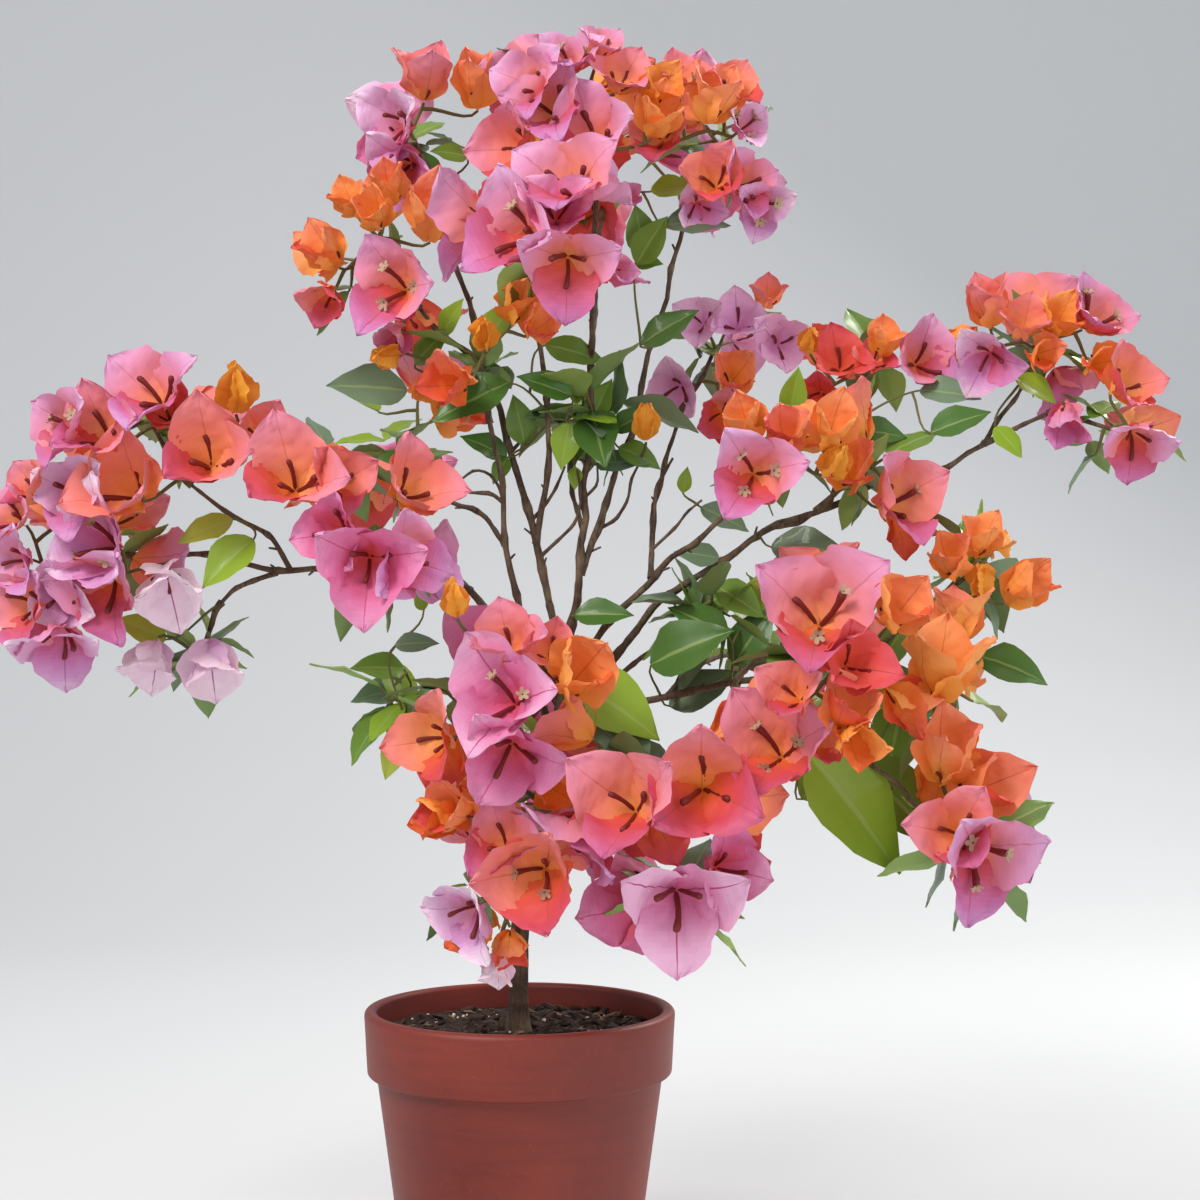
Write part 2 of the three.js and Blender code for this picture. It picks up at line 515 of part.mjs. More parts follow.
// A leaf is a folded blade of eight faces that tapers to its foot in the twig. Its middle lies lower than its
// edges, and its tip droops.
function leafPoints(leaf) {
  const { base, heading, up, length } = leaf;
  const side = new THREE.Vector3().crossVectors(heading, up).normalize();
  const place = (u, v, rise) => base.clone().addScaledVector(heading, length * u)
    .addScaledVector(side, length * v).addScaledVector(up, length * rise);
  const half = up.clone().multiplyScalar(LEAF_THICKNESS / 2);
  return [place(0, 0, 0), place(0.46, 0.27, 0.07), place(1, 0, -0.12), place(0.46, -0.27, 0.07),
    place(0.48, 0, 0).add(half), place(0.48, 0, 0).sub(half)];
}

function leafGeometry(leaf) {
  const faces = [0, 1, 2, 3].flatMap((k) => [[4, k, (k + 1) % 4], [5, (k + 1) % 4, k]]);
  return closedMesh(leafPoints(leaf), faces);
}

// Points all over a leaf but for its foot: its corners, its middle, and halfway along each side of its rim.
function leafSamples(leaf) {
  const [foot, left, tip, right, middle] = leafPoints(leaf);
  const halfway = rimEdges([foot, left, tip, right]).map(([from, to]) => along(from, to, 0.5));
  return [left, tip, right, middle, ...halfway];
}

// The sheet that a flower or leaf spreads, as triangles, with the edges that could run through another.
function leafSheet(leaf) {
  const [foot, left, tip, right, middle] = leafPoints(leaf);
  const rim = [foot, left, tip, right];
  const faces = rim.map((from, k) => [middle, from, rim[(k + 1) % 4]]);
  return { faces, edges: [...rimEdges(rim), [foot, tip]] };
}

function flowerSheet(flower) {
  const lobes = [0, 1, 2].map((third) => lobePoints(flower, flower.roll + (third * 2 * Math.PI) / 3));
  const faces = [];
  const edges = [[flower.stemPoint, flower.base]];
  lobes.forEach((lobe, k) => {
    const rim = [flower.base, ...lobe, lobes[(k + 1) % 3][0]];
    const middle = bractPoint(flower, flower.roll + (k * 2 * Math.PI) / 3, 0.5, 0, 0);
    rim.forEach((from, i) => faces.push([middle, from, rim[(i + 1) % 6]]));
    edges.push(...rimEdges(rim), [flower.base, lobe[2]], [lobe[1], lobe[3]]);
  });
  return { faces, edges };
}

function rimEdges(rim) {
  return rim.map((from, k) => [from, rim[(k + 1) % rim.length]]);
}

function edgeHitsFace([from, to], [a, b, c]) {
  const run = to.clone().sub(from);
  const ab = b.clone().sub(a);
  const ac = c.clone().sub(a);
  const square = run.clone().cross(ac);
  const scale = ab.dot(square);
  if (Math.abs(scale) < 1e-9) return false;
  const offset = from.clone().sub(a);
  const u = offset.dot(square) / scale;
  if (u < 0 || u > 1) return false;
  const turned = offset.cross(ab);
  const v = run.dot(turned) / scale;
  const t = ac.dot(turned) / scale;
  return v >= 0 && u + v <= 1 && t >= 0 && t <= 1;
}

// Whether two sheets run through each other.
function cross(one, other) {
  const hits = (edges, faces) => edges.some((edge) => faces.some((face) => edgeHitsFace(edge, face)));
  return hits(one.edges, other.faces) || hits(other.edges, one.faces);
}

// Places on a bract, by the share of its length and of its half width.
const BRACT_SAMPLES = [
  [0.3, 0], [0.3, -0.7], [0.3, 0.7], [0.5, -0.9], [0.5, 0], [0.5, 0.9],
  [0.72, -0.6], [0.72, 0.6], [0.85, 0], [1, 0]];

function flowerSamples(flower) {
  return [0, 1, 2].flatMap((third) => {
    const turn = flower.roll + (third * 2 * Math.PI) / 3;
    return BRACT_SAMPLES.map(([u, v]) => bractPoint(flower, turn, u, v * flower.width, 0));
  });
}

// One try at a flower: where its rule puts it, the way it looks, and how far its bracts have opened.
function tryFlower(mass, index, attempt) {
  const random = randomFrom(mass.seed * 10007 + index * 101 + attempt);
  const { age } = TINTS[mass.flowers[index]];
  const shape = AGES[age];
  const share = (index + 0.5) / mass.flowers.length;
  const polar = Math.acos(1 - share * (1 - Math.cos(radians(mass.spread))));
  const lean = polar + (random() - 0.5) * 0.5 * (1 + attempt * 0.1);
  const turn = index * GOLDEN_ANGLE + mass.seed + (random() - 0.5) * 0.8 * (1 + attempt * 0.2);
  const outward = leanFrom(vector(mass.face).normalize(), lean, turn);
  const length = shape.length * (0.92 + 0.16 * random()) * (1 - 0.012 * attempt);
  const root = radians(shape.root + 8 * (random() - 0.5));
  const tip = radians(shape.tip + 16 * (random() - 0.5));
  const height = (length * (Math.sin(tip) - Math.sin(root))) / (tip - root);
  const width = (length * (Math.cos(root) - Math.cos(tip))) / (tip - root);
  const reach = reachTowards(mass, outward);
  const room = Math.sqrt(Math.max(0, reach * reach - 0.6 * width * width));
  const out = Math.max(4, room - height * (1 + 0.2 * random()));
  const base = vector(mass.at).addScaledVector(outward, out);
  const axis = leanFrom(outward, 0.35 * random(), 2 * Math.PI * random());
  if (age === 'faded') axis.add(new THREE.Vector3(0, 0, -1.4)).normalize();
  const cup = 0.5 + 0.5 * random();
  return { base, axis, length, root, tip, cup, width: shape.width, roll: 2 * Math.PI * random(), age };
}

// One try at a sprig: a twig with a leaf at its tip and one on each side, its twigs spread over all sides.
function trySprig(mass, index, attempt) {
  const random = randomFrom(mass.seed * 20011 + index * 103 + attempt);
  const count = Math.ceil(mass.leaves / SPRIG_LEAVES);
  const lift = 1 - (2 * (index + 0.5)) / count;
  const turn = index * GOLDEN_ANGLE + 2 * mass.seed + (random() - 0.5) * (1 + attempt * 0.4);
  const flat = Math.sqrt(1 - lift * lift);
  const outward = new THREE.Vector3(flat * Math.cos(turn), flat * Math.sin(turn), lift);
  const length = (mass.leaf ?? 30) * (0.8 + 0.4 * random()) * (1 - 0.012 * attempt);
  const out = Math.max(8, (reachTowards(mass, outward) - length) * (0.7 + 0.4 * random()));
  const end = vector(mass.at).addScaledVector(outward, out);
  const spin = 2 * Math.PI * random();
  const leaves = [0, 1, 2].map((place) => {
    const heading = place === 0 ? outward.clone()
      : leanFrom(outward, 1 + 0.3 * random(), spin + place * Math.PI);
    heading.z += 0.25 - 0.7 * random();
    heading.normalize();
    const [side, lifted] = sideAxes(heading);
    const up = lifted.addScaledVector(side, random() - 0.5).normalize();
    return { at: place === 0 ? 1 : 0.62, heading, up, length: length * (place === 0 ? 1 : 0.85) };
  });
  return { end, leaves: leaves.slice(0, mass.leaves - index * SPRIG_LEAVES) };
}

// Where an element's stalk leaves the stem: sprigs first, then flowers, each further along than the last.
function stemPointOf(mass, slot) {
  const slots = Math.ceil(mass.leaves / SPRIG_LEAVES) + mass.flowers.length;
  return placeOn(stems.get(mass.name).slice(1), 0.12 + (0.86 * (slot + 0.5)) / slots);
}

// A mass as it grows: what it has so far, and whether the next piece fits beside it.
function spaceOf(mass) {
  const walls = wallsOf(mass);
  const sheets = [];
  return {
    sheets,
    fits: (points, room) => staysInside(mass, walls, points) && clearOfLimbs(mass, points, room),
    runsFree: (sheet) => !sheets.some((other) => cross(sheet, other)),
  };
}

const alongStalk = (from, to) => [0.3, 0.5, 0.7, 0.85, 1].map((t) => along(from, to, t));

// Each flower takes the first of its tries that fits and runs through nothing, or is left out.
function growFlowers(mass, space) {
  const grown = [];
  const firstSlot = Math.ceil(mass.leaves / SPRIG_LEAVES);
  mass.flowers.forEach((tint, index) => {
    for (let attempt = 0; attempt < TRIES; attempt += 1) {
      const flower = tryFlower(mass, index, attempt);
      flower.stemPoint = stemPointOf(mass, firstSlot + index);
      const stalk = alongStalk(flower.stemPoint, flower.base);
      // A flower whose axis turns back along its own stalk can't be joined to it
      if (flower.base.clone().sub(flower.stemPoint).normalize().dot(flower.axis) < 0.25) continue;
      if (!space.fits(flowerSamples(flower), BLADE_ROOM) || !space.fits(stalk, TWIG_ROOM)) continue;
      const sheet = flowerSheet(flower);
      if (!space.runsFree(sheet)) continue;
      space.sheets.push(sheet);
      grown.push(flower);
      break;
    }
  });
  return grown;
}

// Each sprig takes the try that keeps the most leaves. A leaf that doesn't fit is left off its twig.
function growSprigs(mass, space) {
  const grown = [];
  for (let index = 0; index < mass.leaves / SPRIG_LEAVES; index += 1) {
    let best = null;
    for (let attempt = 0; attempt < TRIES; attempt += 1) {
      const sprig = trySprig(mass, index, attempt);
      const start = stemPointOf(mass, index);
      const twig = { faces: [], edges: [[start, sprig.end]] };
      if (!space.fits(alongStalk(start, sprig.end), TWIG_ROOM) || !space.runsFree(twig)) continue;
      sprig.stemPoint = start;
      sprig.leaves = sprig.leaves.filter((leaf) => {
        leaf.base = along(start, sprig.end, leaf.at);
        leaf.sheet = leafSheet(leaf);
        return space.fits(leafSamples(leaf), BLADE_ROOM) && space.runsFree(leaf.sheet);
      });
      if (!best || sprig.leaves.length > best.leaves.length) best = sprig;
      if (best.leaves.length === Math.min(SPRIG_LEAVES, mass.leaves - index * SPRIG_LEAVES)) break;
    }
    if (!best || best.leaves.length === 0) continue;
    best.leaves.forEach((leaf) => space.sheets.push(leaf.sheet));
    grown.push(best);
  }
  return grown;
}

// A sprig's twig is a slim three-sided spike.
function twigGeometry({ stemPoint, end }) {
  const run = end.clone().sub(stemPoint).normalize();
  const foot = [0, 1, 2].map((k) => stemPoint.clone()
    .addScaledVector(leanFrom(run, Math.PI / 2, (k * 2 * Math.PI) / 3), TWIG_RADIUS * 1.2));
  const point = end.clone().addScaledVector(run, 4);
  return closedMesh([...foot, point], [[0, 1, 2], [0, 3, 1], [1, 3, 2], [2, 3, 0]]);
}

function massSolid(mass) {
  const space = spaceOf(mass);
  const flowers = growFlowers(mass, space);
  const sprigs = growSprigs(mass, space);
  const pieces = [
    ...flowers.map(flowerGeometry),
    ...sprigs.map(twigGeometry),
    ...sprigs.flatMap((sprig) => sprig.leaves).map(leafGeometry),
  ];
  const stem = solid(limbGeometry(stems.get(mass.name), stemTaper, 4));
  return pieces.reduce((body, piece) => body.add(solid(piece)), stem);
}

// Pot and soil are turned about the Z axis; a lathe turns about Y, so its points are tipped upright.
function lathed(profile, sides) {
  const points = profile.map(([radius, z]) => new THREE.Vector2(radius, z));
  return new THREE.LatheGeometry(points, sides).rotateX(Math.PI / 2);
}

const collarFoot = POT_HEIGHT - COLLAR_HEIGHT;
const bodyTop = RIM_RADIUS - COLLAR_TAPER - COLLAR_STEP;
const innerAt = (z) => THREE.MathUtils.mapLinear(z, 0, collarFoot, BASE_RADIUS, bodyTop) - WALL;
const rimInner = RIM_RADIUS - WALL + 0.6;

function potGeometry() {
  const lip = [0, 45, 90].map((angle) => [
    RIM_RADIUS - LIP_ROUND * (1 - Math.cos(radians(angle))),
    POT_HEIGHT - LIP_ROUND * (1 - Math.sin(radians(angle)))]);
  return lathed([
    [0, 0], [BASE_RADIUS - 2, 0], [BASE_RADIUS, 2], [bodyTop, collarFoot - 1],
    [RIM_RADIUS - COLLAR_TAPER - 1, collarFoot], [RIM_RADIUS - COLLAR_TAPER, collarFoot + 1.5],
    ...lip, [rimInner + 1.5, POT_HEIGHT], [rimInner, POT_HEIGHT - 1.8], [rimInner - 2, collarFoot + 6],
    [innerAt(collarFoot) + 0.2, collarFoot - 2], [innerAt(FLOOR), FLOOR], [0, FLOOR],
  ], POT_SIDES);
}

// The wall's inner radius at a height above the collar's foot.
const collarInnerAt = (z) => (
  THREE.MathUtils.mapLinear(z, collarFoot + 6, POT_HEIGHT - 1.8, rimInner - 2, rimInner));

function soilGeometry() {
  const gap = SEAT + 0.35;
  const edge = collarInnerAt(SOIL_LEVEL) - gap;
  const level = (radius) => SOIL_LEVEL + (radius > 16 ? 1.6 * Math.sin(radius * 0.9) : 0);
  const rings = [edge - 14, edge - 28, edge - 42].map((radius) => [radius, level(radius)]);
  const geometry = lathed([
    [0, FLOOR + SEAT], [innerAt(FLOOR) - gap, FLOOR + SEAT], [innerAt(collarFoot) - gap, collarFoot - 3],
    [rimInner - 2 - gap, collarFoot + 6], [edge, SOIL_LEVEL], ...rings, [12, SOIL_LEVEL], [0, SOIL_LEVEL],
  ], SOIL_SIDES);
  const position = geometry.getAttribute('position');
  for (let k = 0; k < position.count; k += 1) {
    const [x, y, z] = [position.getX(k), position.getY(k), position.getZ(k)];
    const radius = Math.hypot(x, y);
    const loose = radius > 16 && radius < edge - 8 && z > SOIL_LEVEL - 4;
    if (loose) position.setZ(k, z + 1.3 * Math.sin(x * 0.31) * Math.cos(y * 0.37));
  }
  return geometry;
}

const plant = new THREE.Group();

function addMesh(name, geometry, color, roughness) {
  const material = new THREE.MeshStandardMaterial({ color, roughness, metalness: 0 });
  const mesh = new THREE.Mesh(geometry, material);
  mesh.name = name;
  plant.add(mesh);
}

addMesh('pot', potGeometry(), '#8f4030', 0.6);
addMesh('soil', soilGeometry(), '#3a2a22', 0.95);

// Limbs are cut clear of those made before them, so each one meets its carrier with a fine gap all round.
const made = [];
function addLimb(name, sides) {
  const route = routes.get(name);
  const radiusAt = radiusOf.get(name);
  let body = solid(limbGeometry(route, radiusAt, sides));
  made.forEach((earlier) => {
    body = body.subtract(earlier);
  });
  made.push(solid(limbGeometry(route, (t) => radiusAt(t) + SEAT / Math.cos(Math.PI / sides), sides)));
  addMesh(name, geometryOf(largestShell(body)), '#5d5148', 0.85);
}

addLimb('trunk', 10);
LIMBS.forEach((limb) => addLimb(limb.name, 5));
const trunkClearance = made[0];

MASSES.forEach((mass) => {
  let body = massSolid(mass);
  if (mass.on === 'trunk') body = body.subtract(trunkClearance);
  const tint = mass.flowers.length > 2 ? TINTS[mass.flowers[0]].color : LEAF_COLOR;
  addMesh(mass.name, geometryOf(largestShell(body)), tint, 0.7);
});

export default plant;
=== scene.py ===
"""The looks of a bougainvillea bush in its clay pot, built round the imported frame.

The growth rule works in millimetres, and meshes are in metres. +Z is up, and -Y is the side seen first.
"""

import math

import bpy
import numpy as np
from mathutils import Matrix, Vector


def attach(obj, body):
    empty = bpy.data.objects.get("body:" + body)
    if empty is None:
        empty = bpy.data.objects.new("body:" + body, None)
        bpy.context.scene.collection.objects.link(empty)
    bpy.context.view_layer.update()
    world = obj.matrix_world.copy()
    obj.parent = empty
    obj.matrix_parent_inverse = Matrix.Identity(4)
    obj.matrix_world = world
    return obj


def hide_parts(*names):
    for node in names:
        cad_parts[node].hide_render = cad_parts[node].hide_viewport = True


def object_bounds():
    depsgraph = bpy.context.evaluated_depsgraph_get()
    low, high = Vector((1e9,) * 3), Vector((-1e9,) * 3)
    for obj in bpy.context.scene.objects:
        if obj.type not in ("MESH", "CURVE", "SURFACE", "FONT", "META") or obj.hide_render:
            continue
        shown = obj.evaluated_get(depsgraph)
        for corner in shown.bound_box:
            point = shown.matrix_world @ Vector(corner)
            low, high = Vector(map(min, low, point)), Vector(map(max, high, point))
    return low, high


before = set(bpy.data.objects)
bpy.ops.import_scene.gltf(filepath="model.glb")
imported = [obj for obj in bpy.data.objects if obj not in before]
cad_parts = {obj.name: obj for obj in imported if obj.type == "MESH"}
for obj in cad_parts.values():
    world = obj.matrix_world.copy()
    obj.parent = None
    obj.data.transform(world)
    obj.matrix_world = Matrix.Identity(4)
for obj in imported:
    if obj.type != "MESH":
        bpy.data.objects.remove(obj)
cad_low, cad_high = [list(corner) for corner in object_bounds()]
BOX_MARGIN = 0.2
BOX_LOW = np.array(cad_low) * 1000 + BOX_MARGIN
BOX_HIGH = np.array(cad_high) * 1000 - BOX_MARGIN

# Sizes shared with the source

POT_HEIGHT = 146
RIM_RADIUS = 80
COLLAR_HEIGHT = 33
COLLAR_TAPER = 1.5
COLLAR_STEP = 5
BASE_RADIUS = 58.5
WALL = 7
FLOOR = 9
SOIL_LEVEL = 134
SEAT = 0.3
TRUNK_RADIUS = 5
TRUNK_TOP_RADIUS = 4.6
TRUNK_FLARE = 3.2
TRUNK_SHARES = (0, 0.02, 0.06, 0.14, 0.28, 0.42, 0.56, 0.7, 0.85, 1)
TRUNK_NODES = (168, 199, 226, 251, 276, 296)
FORK = (24, 0, 310)
NODE_SPACING = 34
NODE_KINK = 2.2
GOLDEN_ANGLE = 2.399963
LOWEST_FLOWER = 152

# A bract by its age: opening angle at its root and at its tip, and half width over length
AGES = {
    "bud": (28, -34, 0.36),
    "young": (36, 6, 0.41),
    "open": (42, 40, 0.44),
    "full": (45, 60, 0.45),
    "faded": (30, 30, 0.46),
}
# A tint's age, its family of colours, how far along that family it is at root and at tip, and its size
TINTS = {
    "amber": ("bud", "warm", 0.03, 0.08, 24),
    "gold": ("young", "warm", 0.04, 0.2, 38),
    "orange": ("young", "warm", 0.05, 0.31, 34),
    "blush": ("young", "warm", 0.07, 0.52, 34),
    "coral": ("open", "warm", 0.11, 0.48, 34),
    "salmon": ("open", "warm", 0.1, 0.57, 36),
    "pink": ("full", "warm", 0.16, 0.76, 38),
    "dawn": ("full", "warm", 0.1, 0.64, 38),
    "rose": ("young", "warm", 0.4, 0.72, 34),
    "lilac": ("full", "warm", 0.44, 0.87, 36),
    "pale": ("faded", "warm", 0.88, 1.0, 36),
    "magenta": ("full", "deep", 0.17, 0.8, 42),
    "orchid": ("full", "deep", 0.46, 1.0, 42),
    "red": ("open", "deep", 0.0, 0.25, 32),
    "violet": ("open", "violet", 0.1, 0.9, 32),
}
# The tints of each material slot
SLOT_TINTS = {
    "orange_bract": "amber gold orange",
    "salmon_bract": "blush coral salmon red",
    "pink_bract": "pink dawn rose lilac pale magenta orchid",
    "violet_bract": "violet",
}
SLOT_OF = {tint: slot for slot, tints in SLOT_TINTS.items() for tint in tints.split()}

# Limbs: name, the limb that carries it and how far along, its tip, how far it bows out, and its two radii
LIMBS = [
    ("left_bough", "trunk", 0.84, (-150, -26, 378), (6, 0, 52), (3.1, 2)),
    ("left_crown_branch", "left_bough", 0.8, (-164, -34, 414), (6, 2, 2), (1.9, 1.5)),
    ("left_foot_branch", "left_bough", 0.84, (-152, -16, 354), (-2, 0, 3), (1.8, 1.4)),
    ("left_low_branch", "left_bough", 0.3, (-46, -42, 372), (0, -4, 0), (2, 1.6)),
    ("gold_bough", "trunk", 0.93, (-15, -14, 447), (-11, 0, 0), (2.9, 1.9)),
    ("left_inner_branch", "gold_bough", 0.58, (-56, -36, 417), (0, 0, 6), (1.9, 1.5)),
    ("tall_left_bough", "trunk", 0.98, (-44, 6, 568), (5, 2, 0), (3.2, 1.8)),
    ("shoulder_branch", "tall_left_bough", 0.66, (-52, -2, 507), (0, 0, -4), (2, 1.5)),
    ("face_bough", "tall_left_bough", 0.3, (8, -24, 497), (10, 3, 0), (2.6, 1.8)),
    ("crest_bough", "trunk", 1, (41, 2, 578), (4, 2, 0), (3.3, 1.9)),
    ("tall_right_bough", "crest_bough", 0.22, (86, 4, 556), (6, 6, 6), (2.5, 1.7)),
    ("crest_back_branch", "crest_bough", 0.66, (42, 56, 562), (0, 0, -6), (2, 1.6)),
    ("heart_branch", "crest_bough", 0.3, (26, 20, 424), (-2, 3, 0), (1.9, 1.5)),
    ("right_bough", "trunk", 0.95, (111, -26, 405), (0, 0, 17), (3, 1.9)),
    ("violet_branch", "right_bough", 0.5, (84, 42, 455), (-6, 4, 0), (2.1, 1.6)),
    ("far_bough", "trunk", 0.9, (272, -6, 452), (0, 6, 33), (3.1, 1.7)),
    ("right_row_branch", "far_bough", 0.55, (178, 30, 464), (0, 2, 3), (1.9, 1.5)),
    ("right_low_branch", "far_bough", 0.42, (152, -14, 402), (0, -3, -3), (1.9, 1.5)),
    ("far_up_branch", "far_bough", 0.87, (262, 6, 470), (0, 0, 1), (1.7, 1.4)),
    ("low_right_bough", "trunk", 0.8, (186, -46, 322), (0, 12, 16), (3.1, 1.9)),
    ("right_front_branch", "low_right_bough", 0.55, (124, -62, 330), (0, 0, 2), (2, 1.6)),
    ("right_gold_branch", "low_right_bough", 0.84, (212, -24, 356), (0, 2, 0), (1.8, 1.4)),
    ("hanging_branch", "low_right_bough", 0.68, (194, -80, 256), (-2, -8, 4), (2, 1.5)),
    ("back_right_branch", "low_right_bough", 0.34, (112, 66, 326), (0, 0, 8), (2.2, 1.7)),
    ("back_left_branch", "left_bough", 0.42, (-66, 34, 408), (6, 4, -4), (2.1, 1.6)),
]

# Masses: name, what carries it (for the trunk, how high), centre and reach of its space, the way it faces,
# its seed, how many leaves it has and how long they are, and the tints it deals out where no bloom is placed
MASSES = [
    ("crest", "crest_bough", (24, -16, 612), (60, 46, 42), (0, -0.6, 0.8), 11, 3, 30,
     "pink salmon pink coral"),
    ("face", "face_bough", (14, -62, 535), (50, 46, 47), (0, -1, 0), 12, 3, 30, "pink lilac salmon pink"),
    ("top_right", "tall_right_bough", (106, -2, 592), (52, 48, 52), (0.4, -0.7, 0.3), 13, 3, 30,
     "coral pink salmon pink lilac"),
    ("top_left", "tall_left_bough", (-60, 8, 602), (38, 44, 48), (-0.5, -0.6, 0.5), 14, 3, 30,
     "salmon pink lilac orange"),
    ("left_shoulder", "shoulder_branch", (-74, -8, 528), (48, 46, 46), (-0.5, -0.8, 0), 15, 3, 30,
     "orange pink coral orange"),
    ("gold_centre", "gold_bough", (-20, -26, 480), (42, 38, 32), (-0.2, -0.9, 0.3), 16, 6, 30,
     "orange amber coral orange"),
    ("left_crown", "left_crown_branch", (-184, -38, 450), (62, 50, 48), (0, -0.7, 0.7), 17, 2, 30,
     "salmon pink coral pink"),
    ("left_heart", "left_bough", (-224, -32, 378), (54, 52, 50), (-0.5, -0.8, -0.1), 18, 3, 30,
     "pink lilac salmon pink"),
    ("left_hanging", "left_foot_branch", (-164, -16, 324), (36, 36, 36), (-0.2, -0.5, -0.8), 19, 3, 30,
     "pale lilac"),
    ("left_inner", "left_inner_branch", (-92, -50, 426), (46, 44, 38), (0.1, -0.9, 0.3), 20, 2, 30,
     "salmon pink coral"),
    ("left_inner_low", "left_low_branch", (-66, -74, 370), (42, 44, 44), (0, -0.8, -0.5), 21, 2, 30,
     "magenta pink lilac"),
    ("violet", "violet_branch", (104, 62, 497), (42, 42, 40), (0, -0.6, 0.7), 22, 3, 30,
     "violet violet coral"),
    ("right_row", "right_row_branch", (190, 40, 487), (46, 42, 30), (0, -0.6, 0.6), 23, 3, 30,
     "coral orange red orange"),
    ("right_face", "right_bough", (122, -50, 425), (42, 42, 38), (-0.2, -0.9, 0), 24, 3, 30,
     "orange pink coral"),
    ("right_low", "right_low_branch", (182, -20, 424), (46, 44, 36), (0.4, -0.8, 0), 25, 3, 30,
     "salmon orange coral"),
    ("far_right_up", "far_up_branch", (270, 10, 495), (52, 46, 38), (0, -0.6, 0.7), 26, 3, 30,
     "pink coral lilac orange"),
    ("far_right_tip", "far_bough", (306, -12, 442), (40, 44, 44), (0.6, -0.6, -0.3), 27, 3, 30,
     "salmon pink coral"),
    ("leafy_heart", "heart_branch", (36, 6, 458), (60, 52, 38), (0.4, -0.9, 0), 28, 21, 38, ""),
    ("front_upper", 0.72, (-12, -60, 312), (66, 50, 48), (0, -0.9, 0.3), 29, 3, 30,
     "magenta orange salmon coral"),
    ("front_middle", 0.6, (66, -80, 269), (68, 48, 44), (0.2, -0.9, 0.2), 30, 6, 40, "salmon coral pink"),
    ("front_low_left", 0.45, (-10, -58, 220), (54, 46, 52), (-0.2, -0.9, -0.2), 31, 3, 30,
     "salmon pink orange lilac"),
    ("front_low_right", 0.5, (82, -58, 206), (44, 46, 50), (0.1, -0.8, -0.5), 32, 3, 30,
     "pink magenta salmon"),
    ("left_leaves", 0.66, (-66, -6, 306), (34, 36, 46), (0, -0.5, 0.8), 33, 9, 34, ""),
    ("right_leaves", 0.85, (98, -6, 352), (46, 44, 34), (0, -0.9, 0.3), 34, 15, 40, ""),
    ("right_front", "right_front_branch", (152, -94, 330), (50, 48, 50), (0, -0.9, 0.3), 35, 3, 30,
     "magenta coral orange"),
    ("right_gold", "right_gold_branch", (236, -18, 375), (42, 42, 32), (0.4, -0.6, 0.6), 36, 3, 36,
     "orange amber gold"),
    ("right_arm", "low_right_bough", (218, -62, 306), (44, 48, 48), (0.4, -0.9, 0), 37, 3, 36,
     "orange gold coral"),
    ("right_hanging", "hanging_branch", (218, -84, 232), (44, 46, 42), (0.4, -0.6, -0.6), 38, 3, 44,
     "pink salmon coral"),
    ("back_top", "crest_back_branch", (42, 96, 590), (72, 54, 56), (0, 0.8, 0.5), 39, 6, 32,
     "pink salmon lilac coral"),
    ("back_left", "back_left_branch", (-68, 72, 444), (60, 46, 52), (-0.2, 0.9, 0.3), 42, 6, 32,
     "pink salmon orange magenta"),
    ("back_right", "back_right_branch", (142, 104, 334), (62, 54, 56), (0.3, 0.9, 0.2), 40, 6, 32,
     "salmon pink orange coral"),
    ("back_low", 0.55, (14, 78, 262), (64, 54, 58), (0, 0.9, 0.2), 41, 6, 32, "pink coral salmon magenta"),
]

